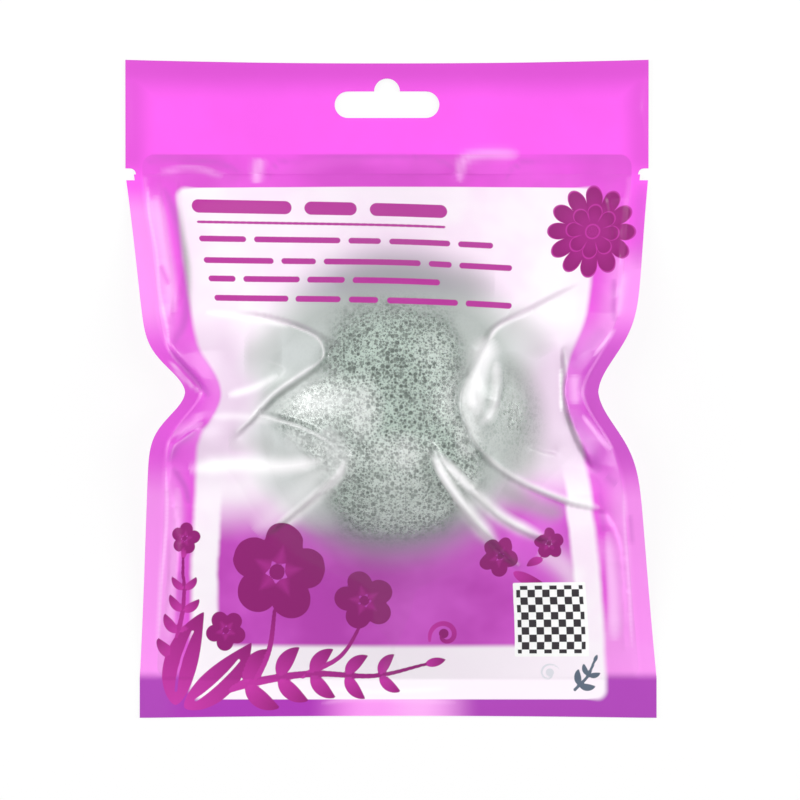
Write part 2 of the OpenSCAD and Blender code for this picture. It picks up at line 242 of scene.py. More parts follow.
# Folds of the front film: points along the crest in millimetres, the crest's height off the
# film below it, and the width of its steep flank, which lies to the left of its direction
# when positive and to the right when negative
FOLDS = [
    ([(-38, 22.5), (-32, 21.8), (-26, 20.2), (-21, 18.4), (-17.6, 16.4), (-16.2, 13.5), (-17.4, 10.8),
      (-22.6, 7.2), (-28.3, 3.2), (-33, -1.5), (-38, -6)], 2.7, 1.3),
    ([(-34, -1.2), (-28, -2.6), (-22, -4.3), (-16.4, -7), (-12.2, -9.6), (-10.6, -11.6),
      (-12.2, -14.6), (-17, -19), (-24, -24.9), (-31, -30.5)], 1.5, 1.3),
    ([(46, 30), (40, 27), (33.3, 23.4), (28, 20.9), (24.2, 18.4), (22, 14.4), (19, 9.2), (16.4, 4.5),
      (15.9, 0), (17.6, -4.4), (20, -9), (26.4, -14.7), (33.6, -18.8), (43.3, -22.6),
      (52, -24.5)], 2.3, -1.3),
    ([(23.4, 17.2), (24.8, 10), (25, 4), (23.6, -0.2)], 1.4, 1.2),
    ([(8, -8.7), (10, -13.7), (13.4, -18.9), (18.2, -25), (24.6, -32), (31, -38.5)], 2.2, -1.4),
    ([(16.6, -17.4), (21.1, -21.4), (26.2, -26), (31.8, -29.3), (39, -32.5)], 2.4, -1.4),
    ([(-58, 13.4), (-52, 8.4), (-45.2, 3.2)], 1.8, -1.0),
    ([(-57, -12.5), (-52.2, -8), (-45.6, -3.6)], 1.6, 1.0),
    ([(41.6, 15), (41.9, 8.7), (41.9, 2), (44.6, -6.5), (49, -14)], 1.8, -1.0),
    ([(46.7, -0.6), (50, -5), (53.4, -10)], 1.2, 0.8),
    ([(32.6, -9.4), (35.6, -10.8), (39.4, -11.6)], 0.9, 0.8),
    ([(-30, 11.5), (-25.5, 9), (-31, 4)], 0.7, 0.8),
    ([(-58.5, 56), (-56.8, 44), (-54.8, 32), (-54.5, 22)], 0.9, 1.0),
    ([(-54, 57), (-52.6, 46), (-51.5, 36), (-53.5, 24)], 0.8, 1.0),
    ([(-56.5, -14), (-53.5, -22), (-52, -32), (-53, -44)], 0.9, -1.0),
    ([(-57.5, -22), (-56, -36), (-57, -52)], 0.6, 1.0),
    ([(53, 55), (55, 42), (57, 31), (55, 25)], 0.9, -1.0),
    ([(58.5, 50), (58.6, 38), (56.8, 27)], 0.7, 1.0),
    ([(52, -26), (55.5, -34), (57, -48), (57.5, -60)], 0.9, 1.0),
]

# How far a fold's gentle side reaches, and how high the foot of its steep side stays
APRON = 11.0
FLANK_FOOT = 0.05

# Half width of the painted highlight along a crest, and the height of a crest whose highlight is full
CREASE_HALF = 0.3
CREASE_FULL = 3.4

# Where the film clings to the puff, seen from above: the area between the folds
CLING = [
    (18, 16.5), (8, 17), (-8, 17), (-13, 16.6), (-14.6, 15.6), (-14.9, 13.3), (-16.4, 9.7), (-21.4, 6),
    (-27, 1.8), (-29, -0.6), (-24, -2.4), (-16, -5.4), (-11.4, -8.3), (-9.2, -11.4), (-11, -15.4),
    (-12.6, -17), (-9, -20), (-2, -21.5), (5, -21.5), (10.6, -20.8),
    (11.8, -20), (8.4, -14.2), (6.4, -9), (7.6, -7), (9.8, -8.4), (12, -13.4), (15.4, -17.6),
    (17.4, -14.6), (18.6, -12), (19, -9.8), (16.2, -4.8), (14.5, 0), (15, 5), (17.8, 10),
    (19.4, 13.6),
]
CLING_SLACK = 0.12

# Places where the film stands off the puff: middle, half sizes, turn in degrees and height,
# and the ring round its top beyond which it stands off all round
LIFTS = [
    ((-32, 12), (14, 9), 10, 3.2),
    ((-34, -17), (15, 9), -35, 2.2),
    ((4, 40), (34, 15), 0, 3.6),
    ((35, 6), (11, 20), 0, 1.4),
    ((21.5, 4), (5, 11), 12, 1.8),
    ((30, -32), (15, 9), -40, 2.4),
]
LIFT_RING = (30, 41, 3.4)

# Creases beside the side seals, which are sums of waves along them: pace, share of the side's
# phase, slant and height
PUCKERS = [(0.31, 1, 0.12, 1.0), (0.53, 2, -0.2, 0.7), (0.173, -1, 0.0, 0.5)]

# Then each side's phase, the creases' height, where they start and how far they reach from the
# seal, and their fades at the foot and at the mouth, all but the phases in millimetres
PUCKER_SIDES = ((-1, 0.4), (1, 2.1))
PUCKER_TALL = 0.35
PUCKER_START = 3.0
PUCKER_REACH = 7.5
PUCKER_ENDS = (12, 8)

# Painted highlights along streaks where the film catches the light and, below zero, painted shade
# where it falls into shade: points as seen from above in millimetres, half width and strength
STREAKS = [
    ([(23.4, 17), (20.4, 9), (18.9, 2.5), (21, -2)], 2.9, 0.9),
    ([(9.2, -10), (12.6, -17), (18.4, -25), (25, -33.5)], 1.7, 1.0),
    ([(9, -9.5), (14.5, -14.8), (19.3, -20), (26, -26), (37, -32)], 1.5, 0.95),
    ([(-50, -15), (-38, -13.6), (-26, -13.8), (-15, -12)], 2.1, 0.95),
    ([(-46, 23.4), (-34, 22), (-24, 19.6)], 0.9, 0.9),
    ([(-10.8, -10.5), (-12.8, -15.8), (-18, -20.6), (-24.4, -26), (-29.5, -30.5)], 1.7, 0.95),
    ([(-17.4, 10.8), (-22.6, 7.2), (-28.3, 3.2), (-33, -1.5), (-36, -4.5)], 0.7, 0.8),
    ([(-34, -1.2), (-28, -2.6), (-22, -4.3), (-16.4, -7), (-12.2, -9.6)], 0.6, 0.7),
    ([(34, 23.8), (28, 21), (24.4, 18.6), (22.3, 15)], 0.6, 0.9),
    ([(24.4, 12), (24.6, 5), (23.6, -0.6), (20.5, -4)], 1.6, 0.9),
    ([(-40, 3), (-33, 5), (-27, 8)], 1.0, 0.7),
    ([(-44, -2), (-36, -2), (-28, -3.4)], 1.0, 0.4),
    ([(20.5, -10), (26.6, -15), (33.6, -19), (43.3, -22.8), (52, -24.6)], 0.9, 1.0),
    ([(-17.6, 18.2), (-14.8, 15.4), (-15.2, 11.6), (-18.8, 8.4)], 0.7, -0.4),
    ([(14, 5), (13.4, 0), (16, -5.4), (19, -10.8)], 0.7, -0.5),
    ([(29, 14), (30, 0), (31, -10), (32, -19)], 6.0, -0.45),
    ([(61.8, 56), (61.5, 44), (60.5, 34)], 2.2, -0.4),
    ([(27, 22), (33, 18), (36, 12)], 4.5, -0.35),
    ([(-36, 13), (-26, 13)], 5.0, -0.4),
    ([(-14, 29), (4, 31), (25, 29.5)], 5.0, -0.45),
    ([(26, -19), (34, -23.5), (42, -26)], 2.5, -0.6),
    ([(36, -34), (42, -39), (46, -44)], 3.0, 0.45),
    ([(6.6, -8.4), (9.2, -15.4), (14.4, -22.8)], 0.7, -0.5),
    ([(-60.9, 55.3), (-60.3, 47.7), (-58.3, 38.3), (-57.4, 29), (-55.3, 19.6), (-54.7, 15)], 0.45, 0.6),
    ([(-57.1, 55), (-54.2, 48.9), (-52.4, 41.9), (-50.9, 34.8), (-50.6, 27.8), (-51, 20.8),
      (-54, 15.2)], 1.2, -0.75),
    ([(-58.9, 53), (-56.8, 40.7), (-55.2, 31.9), (-53.8, 23.1)], 1.7, 0.6),
    ([(-57.4, 35.4), (-55, 30.1)], 0.7, -0.6),
    ([(-54.7, 14.3), (-49.8, 9), (-44.5, 2.6)], 1.0, -0.95),
    ([(-54.7, 12.4), (-51.4, 7.7), (-45.7, 3)], 0.5, 0.85),
    ([(-47.4, -5.6), (-52.1, -8.6), (-55, -13.3)], 0.9, -0.8),
    ([(-46, -3.4), (-50.6, -6), (-53.4, -10)], 0.9, 0.5),
    ([(-53.9, -14.4), (-50.9, -19.1), (-49.8, -23.6)], 0.8, -0.65),
    ([(-55.6, -14.4), (-55.6, -27.3), (-57.4, -44), (-58.4, -60)], 0.45, 0.7),
    ([(-52.6, -19), (-53, -30), (-54.6, -46), (-55.6, -58)], 1.4, 0.5),
    ([(-50.8, -28), (-52.4, -42), (-53.4, -56)], 0.8, -0.5),
    ([(54.4, 32), (54.2, 20.9)], 0.8, -0.6),
    ([(57.4, 34), (55.2, 21.9)], 0.8, 0.6),
    ([(54.6, 19.6), (48.7, 12.4)], 0.5, 0.7),
    ([(51.7, 19.6), (47, 13.6), (43.6, 9.6)], 1.7, -0.5),
    ([(44.2, 8.4), (44.4, 0.8)], 1.6, 0.55),
    ([(40.8, 10), (40.8, -1)], 0.5, 1.0),
    ([(42.3, -0.9), (47.5, -8.3), (50.5, -16)], 1.5, -0.75),
    ([(45.8, -1.5), (53.4, -10.3)], 0.7, 0.65),
    ([(52, -16.4), (55, -19)], 1.0, -0.5),
    ([(56.8, -18), (57, -27.3), (58.4, -44), (59.4, -60)], 0.45, 0.6),
    ([(50.6, -20), (51.8, -32), (52.8, -56)], 0.8, -0.4),
    ([(-33, 62.4), (-33.6, 58.6), (-33.8, 55.4)], 1.3, 0.6),
    ([(16.4, 55.6), (17.4, 61.2), (21.6, 63), (32, 63)], 1.2, 0.55),
    ([(27.6, 56), (30.2, 59.9), (36.2, 61.7), (57.6, 62)], 0.6, -0.45),
    ([(-61.4, 60.8), (-57.2, 62), (-43.5, 60.8), (-37.5, 58.2)], 0.7, -0.5),
    ([(-58, 58.4), (-50, 59.8), (-42, 57.4)], 0.9, 0.3),
    ([(-30.6, 56), (-29.7, 59.5), (-24.6, 61.7), (3.7, 62.5), (13.1, 60.8), (15.4, 56)], 0.5, -0.45),
    ([(-16, -69.6), (-4, -70.6), (14, -69.6)], 0.7, 0.5),
    ([(-18, -73.4), (-8, -72.4), (16, -73.2)], 0.6, 0.4),
    ([(52, -30), (54, -44), (55, -58)], 2.0, 0.85),
    ([(58, -26), (58.6, -34)], 0.8, -0.4),
    ([(-23, 0.5), (-8, 2.5)], 4.0, 0.35),
    ([(-17, -3), (-13, -11), (-15, -18)], 5.0, 0.45),
    ([(-12, -10.5), (-19, -17), (-27, -24.5), (-34, -30)], 3.0, 0.4),
    ([(-25, -5), (-18, -8), (-11, -11)], 4.0, 0.35),
    ([(-7.5, 6), (-7.5, -1), (-8, -9)], 3.0, 0.3),
    ([(3, -5), (3, -10.5), (3.4, -16)], 3.0, 0.3),
    ([(18.6, 1), (18, -5.5), (17.6, -12)], 2.5, 0.4),
    ([(-40, -8.5), (-28, -8.5)], 3.0, -0.3),
]

# Pockets where the film turns milky: middle, half sizes, turn in degrees and strength
MILKY = [
    ((-25, 12.5), (15, 7.5), 15, 0.85),
    ((-28, -7), (12, 5.5), -15, 0.7),
    ((-24, -20.5), (15, 6.5), -42, 0.8),
    ((31, 14), (9, 8), 30, 0.35),
]

# Pockets that stay clearer than the film round them
CLEARER = [
    ((29, -2), (10, 16), 8, 0.5),
    ((-17, -8.5), (9, 4.5), -25, 0.7),
]

# Painted glare on the puff's skin: places where it is lighter
FOAM_GLARE = [
    ((-18, 1.5), (15, 8), 8, 1.3),
    ((19, -18), (8, 8), -40, 0.8),
    ((-16, -8), (10, 5), -25, 0.9),
    ((15, 2), (6, 10), 0, 0.8),
    ((0, -11), (15, 7), 0, 1.1),
    ((-24, -8), (11, 6), -20, 1.2),
    ((11, 13), (8, 9), 0, 0.5),
    ((4, -25), (22, 14), 0, 0.8),
    ((27, -3), (11, 15), 0, 0.6),
    ((-15, -11.5), (10, 7), -20, 1.5),
    ((-7, -1), (6, 11), 0, 1.3),
    ((3, -11.5), (7, 7), 0, 1.4),
    ((18, -6), (5, 9), 0, 1.4),
    ((2, -18), (13, 7), 0, 1.0),
]

# Bounds of the clear core at heights from the top down: height, left bound and right bound.
# Its edge fades to fog between two distances from these bounds
CORE = [
    (33, -4, 5), (26.5, -7, 8), (15, -11, 12.5), (8, -12, 13.5), (2.5, -22, 13.5), (-4, -22, 15.5),
    (-10, -17, 18), (-16, -10.5, 17), (-24, -9, 11.5), (-30, -6, 7), (-35, -3, 3),
]
CORE_FADE = (-3.0, 8.5)

# Cover of the film over the puff: least, what distance from the puff adds, and that distance
VEIL_LEAST = 0.05
VEIL_ADDED = 0.91
VEIL_OFF = 2.4

# Fades of that cover, each with its start, end and most: what the lower part adds, how much
# less distance counts low in the core, the least cover towards the upper edge and round a
# point below the puff's centre, and the puff's colour in the film
VEIL_LOW = (-6, -20, 0.2)
CORE_LOW = (-6, -16, 0.85)
VEIL_TOP = (18, 28, 0.74)
VEIL_ROUND = (20, 34, 0.96)
ROUND_MIDDLE = -3
GLOW = (42.4, 29.4, 0.94)

# Cover of the fog, the cover that hides the pores, and how near the puff's rim they fade
FOG_COVER = 0.86
PORES_HIDDEN = 0.93
PORES_RIM = 6


def in_cling(x, y):
    """True where the film clings to the puff."""
    inside = np.zeros(x.shape, bool)
    for (ax, ay), (bx, by) in zip(CLING, CLING[1:] + CLING[:1]):
        if ay != by:
            crosses = (ay > y) != (by > y)
            inside ^= crosses & (x < ax + (y - ay) * (bx - ax) / (by - ay))
    return inside


def mounds(x, y, places):
    """The highest of a list of soft-edged ovals at each point."""
    out = np.zeros_like(x)
    for (cx, cy), (half_x, half_y), turn, height in places:
        a = math.radians(turn)
        across = ((x - cx) * math.cos(a) + (y - cy) * math.sin(a)) / half_x
        up = ((y - cy) * math.cos(a) - (x - cx) * math.sin(a)) / half_y
        out = np.maximum(out, height * np.clip(1 - across**2 - up**2, 0, 1) ** 1.5)
    return out


def lift(x, y):
    """Height of the film's slack over the puff."""
    return np.maximum(fade(np.hypot(x, y), *LIFT_RING), mounds(x, y, LIFTS))


def puckers(pouch, x, y):
    """Small creases where the film leaves the side seals, square to them."""
    out = np.zeros_like(x)
    most = sum(tall for *_, tall in PUCKERS)
    foot_end, mouth_end = PUCKER_ENDS
    ends = ease((y - pouch.foot_y) / foot_end) * ease((pouch.mouth_y - y) / mouth_end)
    for side, phase in PUCKER_SIDES:
        inward = side * (pouch.inner_x(y, side) - x)
        wave = sum(
            tall * np.sin(y * pace + phase * share + inward * slant)
            for pace, share, slant, tall in PUCKERS
        )
        sharp = 1 - np.sqrt(np.abs(wave) / most)
        fall = ease(inward / PUCKER_START) * np.exp(-np.maximum(inward, 0) / PUCKER_REACH)
        out += PUCKER_TALL * sharp * fall * ends
    return out


def near_line(x, y, line, reach):
    """Points within reach of a line's box: their indices and distances to each of its points."""
    near = np.nonzero(
        (x > line[:, 0].min() - reach) & (x < line[:, 0].max() + reach)
        & (y > line[:, 1].min() - reach) & (y < line[:, 1].max() + reach)
    )[0]
    gap = np.hypot(x[near, None] - line[:, 0], y[near, None] - line[:, 1])
    return near, gap


def crest_glint_values(x, y):
    """Painted highlight along the folds' crests at each point: 1 on a crest tall enough for all of it.
    """
    x, y = x.reshape(-1), y.reshape(-1)
    out = np.zeros(len(x))
    for points, crest, _ in FOLDS:
        line = smooth_line(points, 0.4)
        near, gap = near_line(x, y, line, 2.0)
        strength = tapered(gap.argmin(1) / (len(line) - 1), 3) * min(1, crest / CREASE_FULL)
        mark = np.exp(-((gap.min(1) / CREASE_HALF) ** 2)) * strength
        out[near] = np.maximum(out[near], mark)
    return out


def streak_values(x, y):
    """Painted light and, below zero, painted shade along the film's streaks at each point."""
    shape = np.shape(x)
    x, y = np.ravel(x), np.ravel(y)
    light, shade = np.zeros(len(x)), np.zeros(len(x))
    for points, width, strength in STREAKS:
        line = smooth_line(points, 0.5)
        near, gap = near_line(x, y, line, 2.5 * width)
        taper = tapered(gap.argmin(1) / (len(line) - 1), 2.6)
        mark = abs(strength) * taper * np.exp(-((gap.min(1) / (width * (0.4 + 0.6 * taper))) ** 2))
        side = light if strength > 0 else shade
        side[near] = np.maximum(side[near], mark)
    return (light - shade).reshape(shape)


def smooth_line(points, step):
    """A smooth curve through given points, sampled evenly."""
    pts = np.array(points, float)
    ends = [2 * pts[0] - pts[1], 2 * pts[-1] - pts[-2]]
    pts = np.vstack([ends[0], pts, ends[1]])
    out = []
    for a, b, c, d in zip(pts, pts[1:], pts[2:], pts[3:]):
        n = max(2, int(np.hypot(*(c - b)) / step))
        t = np.linspace(0, 1, n, endpoint=False)[:, None]
        out.append(0.5 * (2 * b + (c - a) * t + (2 * a - 5 * b + 4 * c - d) * t**2
                          + (3 * b - a - 3 * c + d) * t**3))
    return np.vstack(out + [pts[-2:-1]])


def relax(z, low, high, load, step, sweeps, haste=1.85):
    """Settles a stretched film between a lowest and a highest height, under a load."""
    rows, cols = np.indices(z.shape)
    pull = load * step * step / 4
    for _ in range(sweeps):
        for parity in (0, 1):
            mean = z.copy()
            mean[1:-1, 1:-1] = (z[:-2, 1:-1] + z[2:, 1:-1] + z[1:-1, :-2] + z[1:-1, 2:]) / 4
            new = z + haste * (mean - pull - z)
            here = (rows + cols) % 2 == parity
            z = np.where(here, np.clip(new, low, high), z)
    return z


def soften(z):
    """Takes the steps of the grid out of the film's heights."""
    z[1:-1, 1:-1] = (z[1:-1, 1:-1] * 4 + z[:-2, 1:-1] + z[2:, 1:-1]
                     + z[1:-1, :-2] + z[1:-1, 2:]) / 8
    return z


# Grids on which the front film settles: step in millimetres and sweeps
GRIDS = ((2.0, 160), (1.0, 160), (0.4, 260))
GRID_HALF = 68
GRID_MARGIN = 2

# Least gap between the two loose films, and a height that no film reaches
FILMS_APART = 0.2
OPEN_AIR = 60.0

# Distances from the puff's centre between which the film starts to cling
CLING_FADE = (52, 40)


class Grid:
    """A square grid over the lying pouch, seen from above."""

    def __init__(self, pouch, step):
        self.step = step
        self.xs = np.arange(-GRID_HALF, GRID_HALF + step, step)
        self.ys = np.arange(pouch.foot_y - GRID_MARGIN, pouch.mouth_y + GRID_MARGIN + step, step)
        self.x, self.y = np.meshgrid(self.xs, self.ys)

    def cells(self, points):
        """Places of free points, counted in cells."""
        step = self.xs[1] - self.xs[0]
        i = np.clip((points[:, 0] - self.xs[0]) / step, 0, len(self.xs) - 1.001)
        j = np.clip((points[:, 1] - self.ys[0]) / step, 0, len(self.ys) - 1.001)
        return i, j

    def sample(self, z, points):
        """Heights at free points, between the grid's own."""
        fi, fj = self.cells(points)
        i, j = fi.astype(int), fj.astype(int)
        a, b = fi - i, fj - j
        return lerp(z[j, i], z[j, i + 1], a) * (1 - b) + lerp(z[j + 1, i], z[j + 1, i + 1], a) * b

    def put(self, z, rule, points, heights):
        """Sets limits at the cells nearest to points on a line."""
        i, j = [np.rint(places).astype(int) for places in self.cells(points)]
        rule.at(z, (j, i), heights)

    def take(self, z, other):
        """The same heights from another grid."""
        rows = np.stack([np.interp(self.xs, other.xs, row) for row in z])
        return np.stack([np.interp(self.ys, other.ys, col) for col in rows.T]).T


def film_limits(pouch, x, y, cling):
    """Lowest and highest height of the front film without its folds, and the rim's height."""
    held = np.clip(y, pouch.foot_y, pouch.mouth_y)
    inside = (x > pouch.inner_x(held, -1)) & (x < pouch.inner_x(held, 1))
    inside &= (y > pouch.foot_y) & (y < pouch.mouth_y)
    rim = np.where(y >= pouch.mouth_y, pouch.gape(x), pouch.seal_lift(held))
    dome = pouch.dome(np.hypot(x, y), pouch.p.film_gap)
    low = np.where((dome > 0) & ~cling, dome + lift(x, y), dome)
    low = np.where(inside, np.maximum(low, pouch.back_height(x, y) + FILMS_APART), rim)
    high = np.where(cling, dome + CLING_SLACK, np.where(inside, OPEN_AIR, rim))
    return low, high, rim


def fold_limits(grid, base, low, high, cling):
    """The film's limits with its folds: each one's crest, steep flank and gentle side."""
    low_fold, high_fold = low.copy(), high.copy()
    x, y = grid.x.reshape(-1), grid.y.reshape(-1)
    for points, crest, flank in FOLDS:
        line = smooth_line(points, grid.step / 3)
        tall = crest * tapered(np.linspace(0, 1, len(line)), 3.2) ** 1.5
        grid.put(low_fold, np.maximum, line, grid.sample(base, line) + tall)
        run = np.gradient(line, axis=0)
        side = np.stack([-run[:, 1], run[:, 0]], 1) / np.hypot(*run.T)[:, None]
        foot = line + side * flank
        grid.put(high_fold, np.minimum, foot, grid.sample(base, foot) + FLANK_FOOT)
        near, gap = near_line(x, y, line, APRON)
        at = gap.argmin(1)
        way = run[at, 0] * (y[near] - line[at, 1]) - run[at, 1] * (x[near] - line[at, 0])
        slope = tall[at] * np.clip(1 - gap.min(1) / APRON, 0, 1) ** 1.6
        apron = np.where(way * flank < 0, base.flat[near] + slope, -OPEN_AIR)
        low_fold.flat[near] = np.maximum(low_fold.flat[near], apron)
    low_fold = np.where(cling, low, low_fold)
    return low_fold, np.maximum(high_fold, low_fold)


def settle_film(pouch):
    """Heights of the front film on square grids, coarse to fine, with the last grid."""
    z, old = None, None
    for step, sweeps in GRIDS:
        grid = Grid(pouch, step)
        x, y = grid.x, grid.y
        cling = in_cling(x, y)
        low, high, rim = film_limits(pouch, x, y, cling)
        load = pouch.p.skirt_load + pouch.p.cling_load * fade(np.hypot(x, y), *CLING_FADE)
        z = grid.take(z, old) if old else np.maximum(low, rim)
        base = relax(np.clip(z, low, high), low, high, load, step, sweeps)
        limits = fold_limits(grid, base, low, high, cling)
        z = relax(np.clip(base, *limits), *limits, load, step, sweeps)
        old = grid
    return np.maximum(soften(z), low - FILMS_APART) + puckers(pouch, x, y), grid


# Meshes


class Sheet:
    """The pouch below the tear line as rows of points, each with its place on the flat film."""

    # Columns in each seal and in the film, rows in the foot seal and above it, and the strip
    # beside the seals in which the front film comes down to its rim
    SEAL_COLS = 4
    FILM_COLS = 330
    FOOT_ROWS = 24
    FILM_ROWS = 345
    BLEND = 1.5

    def __init__(self, pouch):
        self.pouch = pouch
        p = pouch.p
        ys = np.linspace(pouch.foot_y, pouch.mouth_y, self.FILM_ROWS + 1)
        low = np.linspace(pouch.low_y, pouch.foot_y, self.FOOT_ROWS + 1)[:-1]
        y = np.concatenate([low, ys])[:, None]
        ends = [pouch.outer_x(y, -1), pouch.inner_x(y, -1), pouch.inner_x(y, 1), pouch.outer_x(y, 1)]
        seal = np.linspace(0, 1, self.SEAL_COLS + 1)[None, :]
        film = np.linspace(0, 1, self.FILM_COLS + 1)[None, 1:-1]
        self.x = np.concatenate([
            lerp(ends[0], ends[1], seal), lerp(ends[1], ends[2], film), lerp(ends[2], ends[3], seal)
        ], 1)
        self.first = self.SEAL_COLS
        self.last = self.SEAL_COLS + self.FILM_COLS
        bow = p.foot_bow * (1 - np.linspace(-1, 1, self.x.shape[1]) ** 2)
        depth = np.clip((pouch.foot_y - y) / (pouch.foot_y - pouch.low_y), 0, 1)
        self.y = y + depth * bow[None, :]
        self.lift = pouch.seal_lift(np.clip(y, pouch.foot_y, pouch.mouth_y))

    def drape(self, z, grid):
        """Front film's heights, brought down evenly to its rim beside the seals."""
        out = np.repeat(self.lift, self.x.shape[1], 1)
        left, right = self.x[:, [self.first]], self.x[:, [self.last]]
        reach = np.clip(np.minimum(self.x - left, right - self.x) / self.BLEND, 0, 1)
        held = np.clip(self.x, left + self.BLEND, right - self.BLEND)
        picked = grid.sample(z, np.stack([held, self.y], -1).reshape(-1, 2)).reshape(self.x.shape)
        rows = slice(self.FOOT_ROWS, None)
        out[rows] = lerp(self.lift[rows], picked[rows], reach[rows])
        out[-1] = np.where(reach[-1] > 0, self.pouch.gape(self.x[-1]), out[-1])
        return out + 2 * self.pouch.ply

    def under(self):
        """Back film's heights, its loose part under the front film's."""
        z = self.pouch.back_height(self.x, self.y)
        cols = np.arange(self.x.shape[1])
        sealed = (cols <= self.first) | (cols >= self.last)
        z = np.where(sealed[None, :], self.lift, z)
        z[: self.FOOT_ROWS] = 0
        return z

    def flat_places(self, z):
        """Distance of each point from the pouch's middle, measured along the draped film."""
        run = np.hypot(np.diff(self.x, axis=1), np.diff(z, axis=1))
        along = np.concatenate([np.zeros((len(z), 1)), np.cumsum(run, 1)], 1)
        half = self.pouch.width / 2
        seal = self.pouch.p.side_seal
        out = np.empty_like(along)
        for j, row in enumerate(along):
            marks = [row[0], row[self.first], row[self.last], row[-1]]
            out[j] = np.interp(row, marks, [-half, -half + seal, half - seal, half])
        return out


def grid_faces(rows, cols):
    """Faces between the points of a grid."""
    a = (np.arange(rows - 1)[:, None] * cols + np.arange(cols - 1)[None, :]).reshape(-1)
    return np.stack([a, a + 1, a + cols + 1, a + cols], 1)


def new_object(name, points, faces, body, material, smooth=True):
    """A mesh object from points in millimetres that moves with a CAD body."""
    mesh = bpy.data.meshes.new(name)
    mesh.from_pydata([tuple(v) for v in np.asarray(points) * MM], [], [tuple(f) for f in faces])
    if smooth:
        mesh.shade_smooth()
    obj = bpy.data.objects.new(name, mesh)
    bpy.context.scene.collection.objects.link(obj)
    obj.data.materials.append(material)
    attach(obj, body)
    return obj


def add_values(obj, name, values):
    """One number at each point of a mesh, for its material."""
    layer = obj.data.attributes.new(name, "FLOAT", "POINT")
    layer.data.foreach_set("value", np.asarray(values, float).reshape(-1))


def add_flat(obj, across, up):
    """Each point's place on the flat film, in millimetres, for the print."""
    layer = obj.data.attributes.new("flat", "FLOAT_VECTOR", "POINT")
    flat = np.stack([np.ravel(across), np.ravel(up), np.zeros(np.size(up))], 1)
    layer.data.foreach_set("vector", flat.reshape(-1))


# Materials


def maths(operation, swapped=False):
    """A method that adds one maths node, with the other value first if swapped."""
    def method(self, *others):
        values = (*others, self) if swapped else (self, *others)
        return self.paint.add("ShaderNodeMath", {"operation": operation}, *values)

    return method


class Wire:
    """A socket of a material. Sums and products of wires add the nodes that work them out."""

    __add__ = maths("ADD")
    __sub__ = maths("SUBTRACT")
    __rsub__ = maths("SUBTRACT", swapped=True)
    __mul__ = __rmul__ = maths("MULTIPLY")
    __truediv__ = maths("DIVIDE")
    __pow__ = maths("POWER")
    __abs__ = maths("ABSOLUTE")
    at_least = maths("MAXIMUM")
    at_most = maths("MINIMUM")
    sine = maths("SINE")
    cosine = maths("COSINE")
    arctan2 = maths("ARCTAN2")

    def __init__(self, paint, socket):
        self.paint = paint
        self.socket = socket

    def __neg__(self):
        return self * -1.0

    def step(self, start, end):
        """0 below start and 1 above end, with a smooth rise between."""
        return self.paint.add(
            "ShaderNodeMapRange", {"interpolation_type": "SMOOTHSTEP"}, self, start, end, 0.0, 1.0
        )

    def within(self, blur):
        """1 where a signed distance is below zero and 0 where it is above, blurred between."""
        return 1 - self.step(-blur, blur)


class Paint:
    """A material and the nodes in it."""

    def __init__(self, name):
        self.material = bpy.data.materials.new(name)
        self.material.use_nodes = True
        self.tree = self.material.node_tree
        self.shader = self.tree.nodes["Principled BSDF"]

    def add(self, kind, settings, *inputs, out=0, **named):
        """Adds a node with its settings and inputs, in their order or by name. Gives one output."""
        node = self.tree.nodes.new(kind)
        for key, value in settings.items():
            setattr(node, key, value)
        for socket, value in zip(node.inputs, inputs):
            self.feed(socket, value)
        for key, value in named.items():
            self.feed(node.inputs[key], value)
        return Wire(self, node.outputs[out])

    def feed(self, socket, value):
        """Links a wire to a socket, or sets its value. A colour may leave out its alpha."""
        if isinstance(value, Wire):
            self.tree.links.new(value.socket, socket)
        elif isinstance(value, tuple):
            socket.default_value = (*value[:3], 1.0)
        elif value is not None:
            socket.default_value = value

    def mix(self, share, first, second):
        """A colour between two colours."""
        node = self.tree.nodes.new("ShaderNodeMix")
        node.data_type = "RGBA"
        for index, value in ((0, share), (6, first), (7, second)):
            self.feed(node.inputs[index], value)
        return Wire(self, node.outputs[2])

    def value(self, name):
        """A value stored at the mesh's points."""
        return self.add("ShaderNodeAttribute", {"attribute_name": name}, out=2)

    def places(self, name):
        """The two flat coordinates stored at the mesh's points."""
        vector = self.add("ShaderNodeAttribute", {"attribute_name": name}, out=1)
        return [self.add("ShaderNodeSeparateXYZ", {}, vector, out=k) for k in (0, 1)]

    def point(self):
        """Each place in the object's own space."""
        return self.add("ShaderNodeTexCoord", {}, out=3)

    def noise(self, kind, where=None):
        """Cloudy noise of a kind, which is its scale, detail and roughness."""
        return self.add("ShaderNodeTexNoise", {}, where or self.point(), None, *kind)

    def surface(self, **sockets):
        """Feeds the plain shader."""
        for name, value in sockets.items():
            self.feed(self.shader.inputs[name.replace("_", " ")], value)
        return self.material

    def blend(self, share, first, second):
        """A shader between two shaders."""
        node = self.tree.nodes.new("ShaderNodeMixShader")
        for socket, value in zip(node.inputs, (share, first, second)):
            self.feed(socket, value)
        return Wire(self, node.outputs[0])

    def output(self, shader):
        """Shows a shader on the surface in place of the plain one."""
        self.tree.links.new(shader.socket, self.tree.nodes["Material Output"].inputs["Surface"])
        return self.material

    def bump(self, height, strength, distance):
        return self.add("ShaderNodeBump", {}, Strength=strength, Distance=distance, Height=height)


WHITE = (1.0, 1.0, 1.0)

# Share of light that the clear film reflects, and how blurred it comes back
FILM_SHINE = 0.05
FILM_ROUGH = 0.30

# Noise patterns: scale, detail and roughness
CLOUD = (38.0, 3.0, 0.55)
GRAIN = (900.0, 3.0, 0.6)
BACK_CLOUD = (60.0, 2.0, 0.5)
FOAM_WOBBLE = (600.0, 2.0, 0.6)
FOAM_TONE = (95.0, 2.0, 0.5)
FOAM_FINE = (2600.0, 3.0, 0.7)

